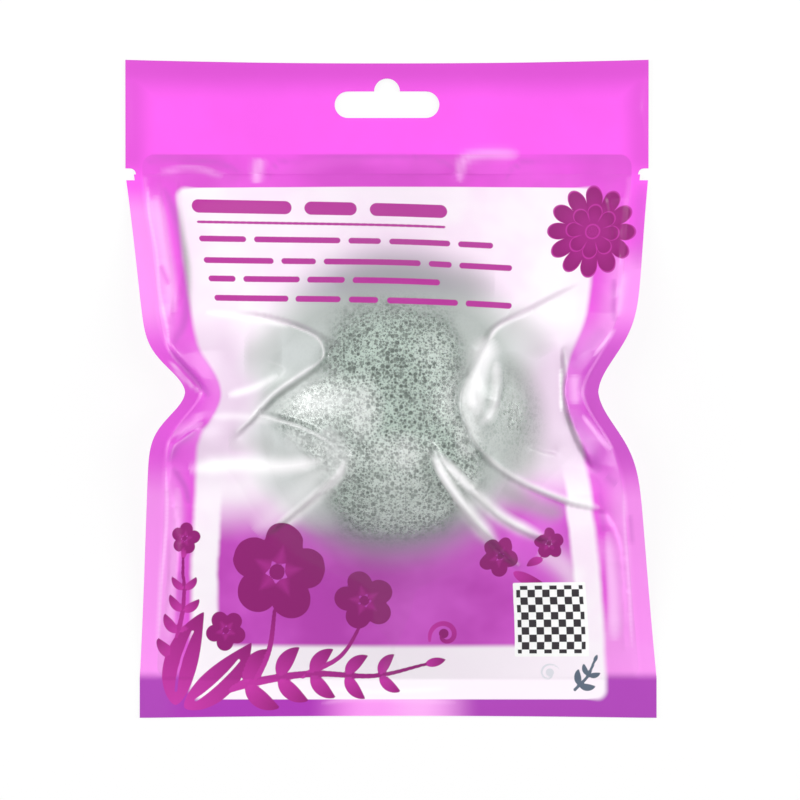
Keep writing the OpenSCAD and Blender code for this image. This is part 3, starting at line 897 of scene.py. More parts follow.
# Pores of three sizes: scale, radius as a share of the cell, and depth
PORES = ((900.0, 0.62, 1.0), (1500.0, 0.74, 0.85), (2600.0, 0.8, 0.6))

# The print's layout on the flat film, in millimetres from the puff's centre. First the boxes:
# the loose film, the window, the magenta zone in it and the pale panel of the back film
LOOSE = {"middle": -2.0, "half_w": 60.8, "half_h": 65.0, "radius": 3.0}
WINDOW = {"middle": -8.9, "half_w": 52.4, "half_h": 63.5, "radius": 2.4}
ZONE = {"middle": -26.4, "half_w": 45.6, "half_h": 32.4, "radius": 2.0}
PANEL = {"middle": -8.9, "half_w": 49.0, "half_h": 60.0, "radius": 3.0}

# Then the start and end of each fade: up the film, or across it for the sides, the halves and
# the sheen. With them, how much lower the right band pales, the middles of the sheen and of
# the pinch, and the tilt of the zone's upper edge
# The upper edge, the header's ends, the bands, the foot band and the pinch set painted shade and sheen
TOP_EDGE = (76.0, 84.0)
HEADER_FOOT = (56.0, 62.0)
HEADER_SIDES = (57.0, 63.0)
BAND_TOP = (48.0, 56.0)
BAND_DROP = 14
BAND_FOOT = (-60.0, -44.0)
BAND_SIDES = (53.0, 60.0)
HALVES = (-5.0, 5.0)
FOOT_BAND = (-68.0, -65.0)
FOOT_SHEEN = (6.0, 22.0)
SHEEN_MIDDLE = -1
WINDOW_SIDES = (46.0, 52.0)
ZONE_FADE = (-30.0, -14.0)
ZONE_TILT = 0.09
STRIP_FADE = (-60.0, -56.0)
HAZE_TOP = (24.0, 31.0)
HAZE_FOOT = (-31.0, -21.0)
PINCH_MIDDLE = 1.0
PINCH_REACH = (11.0, 24.0)
PINCH_SIDES = (32.0, 46.0)

# Height of the puff's middle on the flat film, and the distances from it between which the
# zone's cover rises
PUFF_UP = 1.0
PUFF_ROUND = (35.0, 41.0)

# Middle and half size of the label, its cells, and its border
LABEL = (39.0, -52.2, 9.4)
LABEL_CELL = 1.9
LABEL_BORDER = 0.8

# Middle and radius of the rosette, and its rings of petals and eye: count, tip, dip and turn
MEDALLION = (51.5, 43.6, 11.6)
PETALS = ((12, 1.0, 0.62, 0.0), (8, 0.60, 0.36, 0.3), (30, 0.17, 0.16, 0.1))

# Corner of the slate-coloured ink, and where it turns from pale to dark
SLATE = (31.0, -58.0)
SLATE_FADE = (40.0, 44.0)


def rounded_box(s, t, middle, half_w, half_h, radius):
    """Signed distance to a rounded box on the flat film: negative inside."""
    a = (abs(s) - (half_w - radius)).at_least(0.0)
    b = (abs(t - middle) - (half_h - radius)).at_least(0.0)
    return (a * a + b * b) ** 0.5 - radius


def pinch_share(t):
    """1 at the height of the pinch and 0 away from it."""
    return 1 - abs(t - PINCH_MIDDLE).step(*PINCH_REACH)


def rosette(s, t, middle_s, middle_t, radius):
    """Two rings of broad petals and an eye: where they are and how light each place is."""
    across, up = s - middle_s, t - middle_t
    r = (across * across + up * up) ** 0.5 / radius
    turn = up.arctan2(across)
    mask = 0.0
    light = 0.0
    for petals, tip, dip, start in PETALS:
        bow = abs((turn * (petals / 2) + start).cosine())
        rim = bow ** 0.45 * (tip - dip) + dip
        inside = (r - rim).within(0.012)
        gap = (1 - bow.step(0.06, 0.26)) * r.step(tip - 0.42, tip - 0.2)
        shade = (1 - (r / rim).step(0.45, 0.98)) * 0.2
        outline = 1 - abs(r - rim).step(0.018, 0.05)
        light = ((gap + outline).at_most(1.0) * 0.75 + shade) * inside + light * (1 - inside)
        mask = inside.at_least(mask)
    return mask, light


def label_paint(m, look, s, t):
    """Where the label is, and its colour: plain checkers in a pale border."""
    across, up, half = s - LABEL[0], t - LABEL[1], LABEL[2]
    label = rounded_box(across, up, 0.0, half, half, 0.4).within(0.1)
    half = half - LABEL_BORDER
    code = rounded_box(across, up, 0.0, half, half, 0.2).within(0.05)
    columns, rows = [(place * (math.pi / LABEL_CELL)).sine() for place in (across, up)]
    dark = (columns * rows).step(-0.05, 0.05) * code
    return label, m.mix(dark, look["label"], look["label_dark"])


def ink_paint(m, look, s, t):
    """Where the drawn ink is, and its colour: magenta, and slate in the lower right corner."""
    magenta = m.mix(m.value("tone"), look["ink_light"], look["ink_dark"])
    slate = m.mix(s.step(*SLATE_FADE), look["slate_light"], look["slate"])
    corner = (SLATE[0] - s).within(0.5) * (t - SLATE[1]).within(0.5)
    return m.value("ink").within(0.1), m.mix(corner, magenta, slate)


def plain_print(m, look, s, t, cloud):
    """The magenta print: painted shade at the upper edge and ends, duller on the loose film."""
    # Painted shade at the upper edge and at the header's ends
    edge = t.step(*TOP_EDGE) * 0.8
    edge = edge.at_least(abs(s).step(*HEADER_SIDES) * t.step(*HEADER_FOOT) * 0.6)
    colour_of = m.mix(cloud.step(0.3, 0.75) * 0.5, look["print_bright"], look["bright_low"])
    colour_of = m.mix(edge, colour_of, look["edge"])
    loose = m.mix(cloud.step(0.35, 0.65), look["loose"], look["bright_low"])
    return m.mix(rounded_box(s, t, **LOOSE).within(0.2), colour_of, loose)


def painted_band_shading(m, look, s, t, print_colour):
    """The bands' print: painted shade at the pinch and along the foot, painted sheen between."""
    pinch = pinch_share(t)
    right = s.step(*HALVES)
    low = 1 - (t + right * BAND_DROP).step(*BAND_TOP)
    pale = abs(s).step(*BAND_SIDES) * low * (1 - pinch) * 0.42
    pale = pale.at_least((1 - t.step(*BAND_FOOT)) * right * 0.45)
    print_colour = m.mix(pale, print_colour, look["sheen"])
    print_colour = m.mix(pinch * (right * 0.35 + 0.35), print_colour, look["fold_shade"])
    foot = 1 - t.step(*FOOT_BAND)
    middle = 1 - abs(s - SHEEN_MIDDLE).step(*FOOT_SHEEN)
    print_colour = m.mix(foot * (1 - middle) * 0.9, print_colour, look["foot"])
    return m.mix(foot * middle * 0.5, print_colour, look["sheen"])


def frost(m, look, s, t, cloud, zone):
    """Colour of the frosted film: pale over the panel and magenta over the zone, with the puff's
    haze in the middle and painted shade, tinted pink, beside the pinch."""
    blush = cloud.step(0.4, 0.62) * (t.step(*STRIP_FADE) * 0.4 + 0.1)
    tint = m.mix(blush, look["window"], look["blush"])
    tint = m.mix(zone, tint, m.mix(cloud.step(0.35, 0.7), look["print_deep"], look["deep_light"]))
    ends = t.step(*HAZE_TOP) + (1 - t.step(*HAZE_FOOT))
    tint = m.mix(m.value("glow"), tint, m.mix(ends, look["puff_haze"], look["haze_end"]))
    # Painted shade, tinted pink, beside the pinch
    return m.mix(abs(s).step(*PINCH_SIDES) * pinch_share(t) * 0.9, tint, look["pinch_painted_shade"])


def window_paint(m, look, s, t, cloud, print_colour):
    """Colour and cover of the film with the window in it and the print on it."""
    soft = abs(s).step(*WINDOW_SIDES) * 0.8 + 0.15
    printed = rounded_box(s, t, **WINDOW).step(-soft, soft)
    zone = rounded_box(s, t, **ZONE).within(0.8) * (1 - (t - s * ZONE_TILT).step(*ZONE_FADE))
    up = t - PUFF_UP
    beyond_puff = ((s * s + up * up) ** 0.5).step(*PUFF_ROUND)
    milk, streak = m.value("milk"), m.value("streak")
    spots = pore_depth(m, m.point()) * m.value("seen") * (1 - milk * 0.4)
    # Painted highlights along the crests and the streaks, and painted shade where the streaks fall
    # below zero
    crease = m.value("crease").at_least(streak)
    shade = (-streak).at_least(0.0)
    inked, ink_colour = ink_paint(m, look, s, t)
    medallion, light = rosette(s, t, *MEDALLION)
    label, label_colour = label_paint(m, look, s, t)
    tint = frost(m, look, s, t, cloud, zone)
    for share, colour_of in (
        (milk, look["milk"]),
        (spots * 0.6, look["pore_seen"]),
        (crease, look["glare"]),
        (shade, look["film_shade"]),
        (printed, print_colour),
        (inked, ink_colour),
        (medallion, m.mix(light, look["ink_dark"], look["ink_light"])),
        (label, label_colour),
    ):
        tint = m.mix(share, tint, colour_of)
    cover = printed
    for share in (
        inked * 0.96, medallion, label, zone * beyond_puff * 0.97, m.value("veil"), milk,
        crease * 0.95, shade * 0.8,
    ):
        cover = cover.at_least(share)
    shadow_ray = m.add("ShaderNodeLightPath", {}, out=1)
    return tint, cover * (1 - shadow_ray * (1 - printed) * 0.55)


def film_material(name, look, opaque=False):
    """Frosted film: clear where it clings, milky where it stands off, opaque where printed."""
    m = Paint(name)
    s, t = m.places("flat")
    cloud, grain = m.noise(CLOUD), m.noise(GRAIN)
    print_colour = plain_print(m, look, s, t, cloud)
    if not opaque:
        print_colour = painted_band_shading(m, look, s, t, print_colour)
    # Painted sheen and painted shade along the streaks
    streak = m.value("streak")
    print_colour = m.mix(streak.at_least(0.0), print_colour, look["sheen"])
    print_colour = m.mix((-streak).at_least(0.0), print_colour, look["fold_shade"])
    gloss = {
        "Roughness": FILM_ROUGH,
        "Specular_IOR_Level": 0.3,
        "Coat_Weight": 0.15,
        "Coat_Roughness": 0.22,
        "Normal": m.bump(cloud * 0.6 + grain * 0.05, 0.35, 0.0008),
    }
    if opaque:
        return m.surface(Base_Color=print_colour, **gloss)
    tint, cover = window_paint(m, look, s, t, cloud, print_colour)
    m.surface(Base_Color=tint, **gloss)
    through = m.add("ShaderNodeBsdfTransparent", {}, WHITE)
    shine = m.add("ShaderNodeBsdfAnisotropic", {}, WHITE, FILM_ROUGH, Normal=gloss["Normal"])
    clear = m.blend(FILM_SHINE, through, shine)
    return m.output(m.blend(cover, clear, Wire(m, m.shader.outputs[0])))


def pore_depth(m, where):
    """Round pits of three sizes at random places: 1 in a pore and 0 on the walls."""
    voronoi = {"voronoi_dimensions": "3D", "feature": "F1"}
    depth = 0.0
    for scale, share, strength in PORES:
        near = m.add("ShaderNodeTexVoronoi", voronoi, where, None, scale)
        colour_of = m.add("ShaderNodeTexVoronoi", voronoi, where, None, scale, out=1)
        luck = m.add("ShaderNodeSeparateColor", {}, colour_of, out=0)
        radius = share * (luck * luck * 0.9 + 0.25)
        depth = ((1 - (near / radius).step(0.55, 1.1)) * strength).at_least(depth)
    return depth


def foam_material(look):
    """Moist, open-pored foam: pale cell walls round dark pores of many sizes, with painted glare."""
    m = Paint("konjac_foam")
    where = m.point()
    wobble, tone, fine = [m.noise(kind, where) for kind in (FOAM_WOBBLE, FOAM_TONE, FOAM_FINE)]
    depth = pore_depth(m, where)
    paler = m.value("paler")
    wall = m.mix(tone.step(0.35, 0.65), look["foam_web"], look["web_light"])
    wall = m.mix(fine.step(0.3, 0.8) * 0.45, wall, look["web_shade"])
    # Painted glare: lighter walls and less dark pores where the foam is lit
    wall = m.mix((paler * 0.75).at_most(1.0), wall, look["web_glare"])
    dark = depth * (wobble * 0.5 + 0.7 - paler * 0.25).at_most(1.0)
    return m.surface(
        Base_Color=m.mix(dark, wall, look["foam_pore"]),
        Roughness=0.85,
        Normal=m.bump((1 - depth) + fine * 0.3, 0.7, 0.0006),
    )


def back_material(look):
    """Back film: printed all over, with a pale panel behind the window."""
    m = Paint("back_film")
    s, t = m.places("flat")
    cloud = m.noise(BACK_CLOUD)
    print_colour = m.mix(cloud.step(0.35, 0.7), look["print_bright"], look["bright_low"])
    return m.surface(
        Base_Color=m.mix(rounded_box(s, t, **PANEL).within(0.2), print_colour, look["window"]),
        Roughness=0.32,
        Coat_Weight=0.2,
        Coat_Roughness=0.2,
        Normal=m.bump(cloud, 0.3, 0.0008),
    )


def floor_material():
    """Plain white floor that the camera sees as paper white, with the object's soft shadow."""
    m = Paint("floor_paper")
    camera, glossy, transmission = [m.add("ShaderNodeLightPath", {}, out=k) for k in (0, 3, 6)]
    seen = camera.at_least(glossy).at_least(transmission)
    m.surface(Base_Color=(0.9, 0.9, 0.9), Roughness=0.9)
    paper = m.add("ShaderNodeEmission", {}, WHITE, 1.0)
    return m.output(m.blend(seen * 0.86, Wire(m, m.shader.outputs[0]), paper))


# Pieces


def pouch_now():
    """The pouch with the sizes that are set in the scene."""
    return Pouch(bpy.context.scene.pouch_sizes)


# Colours that a user doesn't change, in linear values, among them painted highlights and painted shade
FIXED_COLOURS = {
    # Painted shade on the print at its upper edge and ends
    "edge": (0.58, 0.06, 0.52),
    # Painted shade along the foot
    "foot": (0.32, 0.02, 0.38),
    # Painted sheen and painted fold shade on the print
    "sheen": (0.90, 0.50, 0.87),
    "fold_shade": (0.48, 0.085, 0.48),
    "deep_light": (0.62, 0.10, 0.60),
    "blush": (0.88, 0.66, 0.86),
    # Painted shade beside the pinch, tinted pink
    "pinch_painted_shade": (0.62, 0.47, 0.62),
    "milk": (0.60, 0.63, 0.63),
    # Painted highlight and painted shade on the frosted film
    "glare": (0.96, 0.94, 0.96),
    "film_shade": (0.30, 0.31, 0.30),
    "haze_end": (0.32, 0.31, 0.36),
    # Painted glare on the foam's walls
    "web_glare": (0.86, 0.91, 0.88),
    "slate": (0.09, 0.12, 0.17),
    "slate_light": (0.70, 0.70, 0.76),
    "label": (0.93, 0.93, 0.93),
    "label_dark": (0.02, 0.015, 0.02),
}

# Colours that are lighter or darker than the user's: which of them, and by how much
MADE_COLOURS = {
    "bright_low": ("print_bright", 0.86),
    "loose": ("print_bright", 0.72),
    "web_light": ("foam_web", 1.2),
    "web_shade": ("foam_web", 0.55),
    "pore_seen": ("foam_pore", 1.6),
}


def looks_now():
    """All colours by name: the user's, those made from them and the fixed ones."""
    group = bpy.context.scene.pouch_colours
    looks = {name: tuple(getattr(group, name)) for name in PouchColours.__annotations__}
    for name, (source, share) in MADE_COLOURS.items():
        looks[name] = tuple(min(1.0, v * share) for v in looks[source])
    return looks | FIXED_COLOURS


# The draped sheet, once it has settled
STORE = {}


def draped_sheet():
    """The front film's sheet and heights, settled once and kept for the pieces on it."""
    if "sheet" not in STORE:
        sheet = Sheet(pouch_now())
        sheet.z = sheet.drape(*settle_film(sheet.pouch))
        sheet.s = sheet.flat_places(sheet.z)
        STORE["sheet"] = sheet
    return STORE["sheet"]


def film_values(pouch, x, y, z):
    """How milky the film is over each point, how much of the puff's colour it takes, and how
    well the puff's pores are seen through it."""
    p = pouch.p
    tall = pouch.puff_h - p.edge_round
    r = np.hypot(x, y)
    off = np.sqrt((r / pouch.puff_r) ** 2 + ((z - p.edge_round) / tall) ** 2) - 1
    off = np.maximum(off * tall - p.film_gap - pouch.ply - CLING_SLACK, 0)
    core_y, left, right = np.array(CORE[::-1], float).T
    outside = np.maximum(np.interp(y, core_y, left) - x, x - np.interp(y, core_y, right))
    outside = outside + 0.7 * np.sin(0.5 * x + 1.7 * np.sin(0.3 * y)) + 0.8 * np.sin(0.4 * y)
    fog = fade(outside, *CORE_FADE)
    off = off * (1 - (1 - fog) * fade(y, *CORE_LOW))
    veil = VEIL_LEAST + VEIL_ADDED * (1 - np.exp(-((off / VEIL_OFF) ** 1.2))) + fade(y, *VEIL_LOW)
    veil = np.maximum(np.maximum(veil, FOG_COVER * fog), fade(y, *VEIL_TOP))
    veil = np.maximum(veil, fade(np.hypot(x, y - ROUND_MIDDLE), *VEIL_ROUND))
    veil = veil * (1 - mounds(x, y, CLEARER))
    seen = np.clip((PORES_HIDDEN - veil) / np.maximum(veil, 0.1), 0, 1)
    return {
        "veil": veil,
        "glow": fade(np.hypot(x / 0.95, y - 1), *GLOW),
        "seen": seen * fade(r, pouch.puff_r, pouch.puff_r - PORES_RIM),
    }


# Points round the puff, rings on its flat face, its edge and its dome, and the radius of the
# first ring
PUFF_TURNS = 144
FACE_RINGS = 12
EDGE_RINGS = 8
DOME_RINGS = 60
FIRST_RING = 2

# Depth of the hollows in the puff's skin, and the height at which they are full
DENT = 0.12
DENT_FULL = 6


def make_puff():
    """The puff: a dome on a flat face, with a soft edge and a slightly uneven skin."""
    pouch = pouch_now()
    e, r, h = pouch.p.edge_round, pouch.puff_r, pouch.puff_h
    turns, quarter = PUFF_TURNS, math.pi / 2
    edge_turns = np.linspace(-quarter, 0, EDGE_RINGS)
    dome_turns = np.linspace(0, quarter, DOME_RINGS)[1:-1]
    face = [(ring, 0.0) for ring in np.linspace(FIRST_RING, r - e, FACE_RINGS)[:-1]]
    edge = [(r - e + e * math.cos(a), e * (1 + math.sin(a))) for a in edge_turns]
    dome = [(r * math.cos(a), e + (h - e) * math.sin(a)) for a in dome_turns]
    profile = face + edge + dome
    points = [(0, 0, 0)]
    for ring, z in profile:
        for a in np.linspace(0, 2 * math.pi, turns, endpoint=False):
            dent = abs(math.sin(5 * a + z * 0.31) + math.sin(9 * a - z * 0.53)) * DENT
            far = ring - dent * min(1, z / DENT_FULL)
            points.append((far * math.cos(a), far * math.sin(a), z))
    points.append((0, 0, h))
    top = len(points) - 1
    last = top - turns
    faces = []
    for i in range(turns):
        j = (i + 1) % turns
        faces.append((0, 1 + j, 1 + i))
        faces.append((last + i, last + j, top))
        for k in range(len(profile) - 1):
            a, b = 1 + k * turns + i, 1 + k * turns + j
            faces.append((a, b, b + turns, a + turns))
    points = np.array(points) + (0, 0, PUFF_LOW[2])
    puff = new_object("puff_foam", points, faces, "puff", foam_material(looks_now()))
    # Painted glare on the foam
    add_values(puff, "paler", mounds(points[:, 0], points[:, 1], FOAM_GLARE))
    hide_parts("konjac_puff")


def in_notch(pouch, x, y):
    """True within a tear notch."""
    r, depth = pouch.p.notch_r, pouch.p.notch_depth
    inward = pouch.width / 2 - np.abs(x - pouch.header_x)
    up = np.abs(y - pouch.mouth_y)
    return (np.hypot(inward - (depth - r), up) < r) | ((inward < depth - r) & (up < r))


def sheet_object(name, sheet, z, material, flip=False):
    """One film below the tear line, without its half of each tear notch."""
    points = np.stack([sheet.x, sheet.y, z], -1).reshape(-1, 3)
    faces = grid_faces(*sheet.x.shape)
    middle = points[faces].mean(1)
    faces = faces[~in_notch(sheet.pouch, middle[:, 0], middle[:, 1])]
    obj = new_object(name, points, faces[:, ::-1] if flip else faces, "pouch", material)
    add_flat(obj, sheet.flat_places(z), sheet.y)
    return obj


def make_front_film():
    """The front film below the tear line, with the welded bands round it."""
    sheet = draped_sheet()
    x, y, z = sheet.x, sheet.y, sheet.z
    film = sheet_object("front_sheet", sheet, z, film_material("front_film", looks_now()))
    values = film_values(sheet.pouch, x, y, z)
    # Painted highlight along the folds' crests
    values["crease"] = crest_glint_values(x, y)
    # Painted light and painted shade along the streaks
    values["streak"] = streak_values(x, y)
    values["milk"] = mounds(x, y, MILKY)
    values["ink"], values["tone"] = draw_ink(sheet.s, y)
    for name, numbers in values.items():
        add_values(film, name, numbers)
    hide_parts("front_film", "left_seal", "right_seal", "foot_seal")


def make_back_film():
    """The back film below the tear line, flat under the puff."""
    sheet = draped_sheet()
    film = sheet_object("back_sheet", sheet, sheet.under(), back_material(looks_now()), flip=True)
    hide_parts("back_film")


def slot_outline(pouch, count=18):
    """The hang slot's outline, anticlockwise, with the bump in its upper side."""
    p = pouch.p
    cx, cy, r = pouch.header_x, pouch.mouth_y + p.slot_up, p.slot_h / 2
    straight = p.slot_w / 2 - r
    arcs = [
        (cx + straight, cy, r, -math.pi / 2, math.pi / 2),
        (cx, cy + r, p.slot_bump, 0, math.pi),
        (cx - straight, cy, r, math.pi / 2, 1.5 * math.pi),
    ]
    return [
        (x + radius * math.cos(a), y + radius * math.sin(a))
        for x, y, radius, start, end in arcs
        for a in np.linspace(start, end, count)
    ]


def in_slot(pouch, x, y):
    """True within the hang slot."""
    p = pouch.p
    across, up, r = abs(x - pouch.header_x), y - pouch.mouth_y - p.slot_up, p.slot_h / 2
    round_end = math.hypot(max(0, across - (p.slot_w / 2 - r)), up) < r
    return round_end or (up > 0 and math.hypot(across, up - r) < p.slot_bump)


def header_outline(pouch, count=60):
    """The header's outline, anticlockwise from the left notch along the tear line."""
    p = pouch.p
    cx, half, low = pouch.header_x, pouch.width / 2, pouch.mouth_y
    notch = [(half - p.notch_depth + p.notch_r * (1 - math.cos(a)), low + p.notch_r * math.sin(a))
             for a in np.linspace(0, math.pi / 2, 8)]
    notch.append((half, low + p.notch_r))
    left = [(cx - x, y) for x, y in notch[::-1]]
    right = [(cx + x, y) for x, y in notch]
    tear = [(x, low) for x in np.linspace(left[-1][0], right[0][0], count)[1:-1]]
    top = [(cx + half * k, pouch.top_y - p.header_bow * (1 - k * k)) for k in np.linspace(1, -1, count)]
    return left + tear + right + top


# Spacing of the header's inner points, and how far they stay from its lower and upper edge
HEADER_STEP = 1.2
FROM_TEAR = 0.8
FROM_TOP = 0.6


def header_mesh(pouch):
    """Flat points and triangles of the header, with its slot and notches cut out."""
    outline, slot = header_outline(pouch), slot_outline(pouch)
    half = pouch.width / 2 - HEADER_STEP
    inner = [
        (x, y)
        for y in np.arange(pouch.mouth_y + FROM_TEAR, pouch.top_y - FROM_TOP, HEADER_STEP)
        for x in np.arange(pouch.header_x - half, pouch.header_x + half, HEADER_STEP)
        if y < pouch.top_y - pouch.p.header_bow - FROM_TOP
        and not in_slot(pouch, x, y) and not in_notch(pouch, x, y)
    ]
    n, m = len(outline), len(slot)
    edges = [(i, (i + 1) % n) for i in range(n)] + [(n + i, n + (i + 1) % m) for i in range(m)]
    points = [Vector(q) for q in outline + slot + inner]
    flat, _, faces, *_ = delaunay_2d_cdt(points, edges, [], 1, 1e-4)
    flat = np.array([tuple(v) for v in flat])
    keep = []
    for face in faces:
        face = list(face)
        (ax, ay), (bx, by), (cx, cy) = flat[face[:3]]
        if (bx - ax) * (cy - ay) < (by - ay) * (cx - ax):
            face = face[::-1]
        x, y = flat[face].mean(0)
        if not in_slot(pouch, x, y):
            keep.append(face)
    return flat[:, 0], flat[:, 1], keep


# Rise of the header's soft waves above the tear line: start, end and height
HEADER_WAVE = (0, 9, 0.22)


def make_header():
    """The header's two films, with the hang slot, the notches and the loose strip."""
    pouch = pouch_now()
    x, y, faces = header_mesh(pouch)
    up = y - pouch.mouth_y
    rise = pouch.gape(x) * np.clip(1 - up / pouch.p.loose, 0, 1) ** 1.5
    wave = fade(up, *HEADER_WAVE) * (1 + np.sin(x * 0.11 + 1.3) * np.cos(y * 0.16))
    plies = [("front", 2 * pouch.ply + rise + wave, 1), ("back", wave, -1)]
    for name, z, turn in plies:
        material = film_material(f"header_{name}_film", looks_now(), opaque=True)
        points, turned = np.stack([x, y, z], 1), [face[::turn] for face in faces]
        film = new_object(f"header_{name}_sheet", points, turned, "header", material)
        add_flat(film, x - pouch.header_x, y)
        # Painted sheen and painted shade along the streaks on the header
        add_values(film, "streak", streak_values(x, y))
        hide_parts(f"header_{name}")


# Print


class Ink:
    """Signed distance to the nearest printed shape at each point, and the place along it."""

    # Distance of a point that is far from all ink, and the part of a leaf that has its vein
    FAR = 9.0
    VEIN = slice(8, 46)

    def __init__(self, s, t):
        self.s, self.t = s.reshape(-1), t.reshape(-1)
        self.edge = np.full(self.s.shape, self.FAR)
        self.tone = np.zeros(self.s.shape)

    def stroke(self, line, radii, tone=(0.0, 1.0)):
        """A brush stroke: circles of changing radius along a line."""
        line, radii = np.asarray(line, float), np.asarray(radii, float)
        near, gap = near_line(self.s, self.t, line, radii.max() + 3)
        gap = gap - radii
        nearest = gap.argmin(1)
        edge = gap[np.arange(len(near)), nearest]
        won = edge < self.edge[near]
        self.edge[near[won]] = edge[won]
        self.tone[near[won]] = lerp(tone[0], tone[1], nearest[won] / (len(line) - 1))

    def scratch(self, line, radius):
        """A bare line in what is printed so far."""
        near, gap = near_line(self.s, self.t, line, radius + 1)
        self.edge[near] = np.maximum(self.edge[near], radius - gap.min(1))

    def leaf(self, x, y, turn, length, width, bend=0.0, vein=0.0):
        """A pointed leaf from its root, bent to one side, with a bare vein if wanted."""
        u = np.linspace(0, 1, 60)
        turns = math.radians(turn) + bend * (u - 0.5)
        step = length / len(u)
        line = np.stack([x + np.cumsum(np.cos(turns)) * step, y + np.cumsum(np.sin(turns)) * step], 1)
        self.stroke(line, width / 2 * np.sin(math.pi * u**0.8) ** 0.9)
        if vein:
            self.scratch(line[self.VEIN], vein)

    def petal(self, x, y, turn, length, width):
        """A rounded petal, widest near its tip."""
        u = np.linspace(0, 1, 30)
        a = math.radians(turn)
        span = length - width / 2
        line = np.stack([x + u * span * math.cos(a), y + u * span * math.sin(a)], 1)
        self.stroke(line, width / 2 * u**0.75)

    def blossom(self, x, y, radius, turn, petals=5):
        """Rounded petals round a bare eye, with a dot in the middle."""
        eye = radius * BLOSSOM_EYE
        start = eye * 1.5
        for k in range(petals):
            course = turn + 360 * k / petals
            a = math.radians(course)
            root = (x + start * math.cos(a), y + start * math.sin(a))
            self.petal(*root, course, radius - start, radius * 4.1 / petals)
        self.stroke([(x, y), (x, y + 0.01)], [eye, eye], tone=(1.0, 1.0))

    def stem(self, points, thick, thin):
        """A smooth line that thins towards its tip."""
        line = smooth_line(points, 0.5)
        self.stroke(line, np.linspace(thick, thin, len(line)) / 2)
        return line

    def branch(self, points, thick, thin, pairs, leaf, spread=48.0):
        """A stem with pairs of leaves along it that shrink towards its tip."""
        line = self.stem(points, thick, thin)
        for k in range(pairs):
            at = int(len(line) * (0.22 + 0.72 * k / pairs))
            dx, dy = line[at + 1] - line[at]
            course = math.degrees(math.atan2(dy, dx))
            length = leaf * (1 - 0.45 * k / pairs)
            for side in (-1, 1):
                self.leaf(*line[at], course + side * spread, length, length * 0.42, -side * 0.9)
        dx, dy = line[-1] - line[-2]
        self.leaf(*line[-1], math.degrees(math.atan2(dy, dx)), leaf * 0.5, leaf * 0.22)

    def curl(self, x, y, turn, radius, turns, thick, way=1):
        """A curl that winds in to a ball."""
        u = np.linspace(0, 1, 90)
        a = math.radians(turn) + way * u * turns * 2 * math.pi
        r = radius * (1 - 0.86 * u**0.8)
        line = np.stack([x + r * np.cos(a), y + r * np.sin(a)], 1)
        thickness = thick * (0.5 + 0.5 * np.sin(math.pi * u**0.6))
        self.stroke(line, thickness / 2 + fade(u, *CURL_BALL))

    def bars(self, x, y, thick, lengths, gap):
        """A row of plain rounded bars."""
        for length in lengths:
            end = x + length - thick
            line = smooth_line([(x, y + BAR_SLOPE * x), (end, y + BAR_SLOPE * end)], 0.3)
            self.stroke(line, np.full(len(line), thick / 2), tone=(BAR_TONE, BAR_TONE))
            x += length + gap


# The print, in millimetres and degrees. Rows of bars that stand for words: start of the first
# bar, thickness, lengths and gap, with one slope and one tone for all
BARS = [
    (-47.0, 48.6, 3.4, [25, 13, 19], 3.2),
    (-47.5, 44.6, 0.7, [62], 0.0),
    (-47.0, 40.4, 1.5, [12, 22, 8, 15, 9], 2.0),
    (-46.5, 35.0, 1.5, [18, 9, 24, 6, 14], 2.0),
    (-46.0, 30.4, 1.5, [7, 15, 10, 21], 2.0),
    (-45.0, 25.6, 1.5, [20, 12, 7, 17, 13], 2.0),
]
BAR_SLOPE = -0.03
BAR_TONE = 0.35

# Stems: points, thickness at the root and thickness at the tip
STEMS = [
    ([(-36, -68), (-32.5, -60), (-31, -50)], 1.7, 1.0),
    ([(-24, -66.5), (-14.5, -61.5), (-9, -53)], 1.5, 0.8),
]

# Branches: the same, pairs of leaves and length of the longest leaf
BRANCHES = [
    ([(-50, -72), (-38, -68.5), (-22, -66), (-6, -66.5), (7, -63.5)], 2.6, 0.8, 5, 10.5),
    ([(-56, -68), (-56, -58), (-54.5, -48), (-54.5, -37)], 1.8, 0.7, 4, 7.0),
    ([(44.5, -70), (47.6, -66.8), (49.6, -63)], 0.8, 0.7, 2, 4.2),
]

# Single leaves: root, direction, length, width, bend and the vein's half width
LEAVES = [
    (-56, -74, 74, 25, 8.5, -0.6, 0.35),
    (-54, -74.5, 44, 24, 8.0, 0.5, 0.35),
    (30, -40, -20, 8, 2.8, 0.6),
    (38, -37, 200, 5, 2.0, 0.6),
]

# Curls: middle, direction of the start, radius, turns, thickness and way round, and the ball
# at their inner end: its start and end along the curl, and its radius
CURLS = [
    (12, -56, 200, 4.2, 1.2, 1.3, -1),
    (38, -66, 20, 3.0, 1.1, 0.5),
]
CURL_BALL = (0.93, 1.0, 0.9)

# Blossoms: middle, radius and direction of the first petal, and the eye's share of the radius
BLOSSOMS = [
    (-30, -40, 12.5, 80),
    (-8, -47, 7.6, 30),
    (-43.5, -55, 5.2, 50),
    (-54.5, -32, 4.0, 10),
    (26, -36, 5.2, 60),
    (40, -33, 4.0, 20),
]
BLOSSOM_EYE = 0.16


def draw_ink(s, t):
    """The whole print on the flat film: each point's distance from the ink, and its tone."""
    ink = Ink(s, t)
    for draw, shapes in (
        (ink.bars, BARS),
        (ink.stem, STEMS),
        (ink.branch, BRANCHES),
        (ink.leaf, LEAVES),
        (ink.curl, CURLS),
        (ink.blossom, BLOSSOMS),
    ):
        for shape in shapes:
            draw(*shape)
    return ink.edge, ink.tone


# Stage

# Strength of the light from all round
WORLD_LIGHT = 0.21

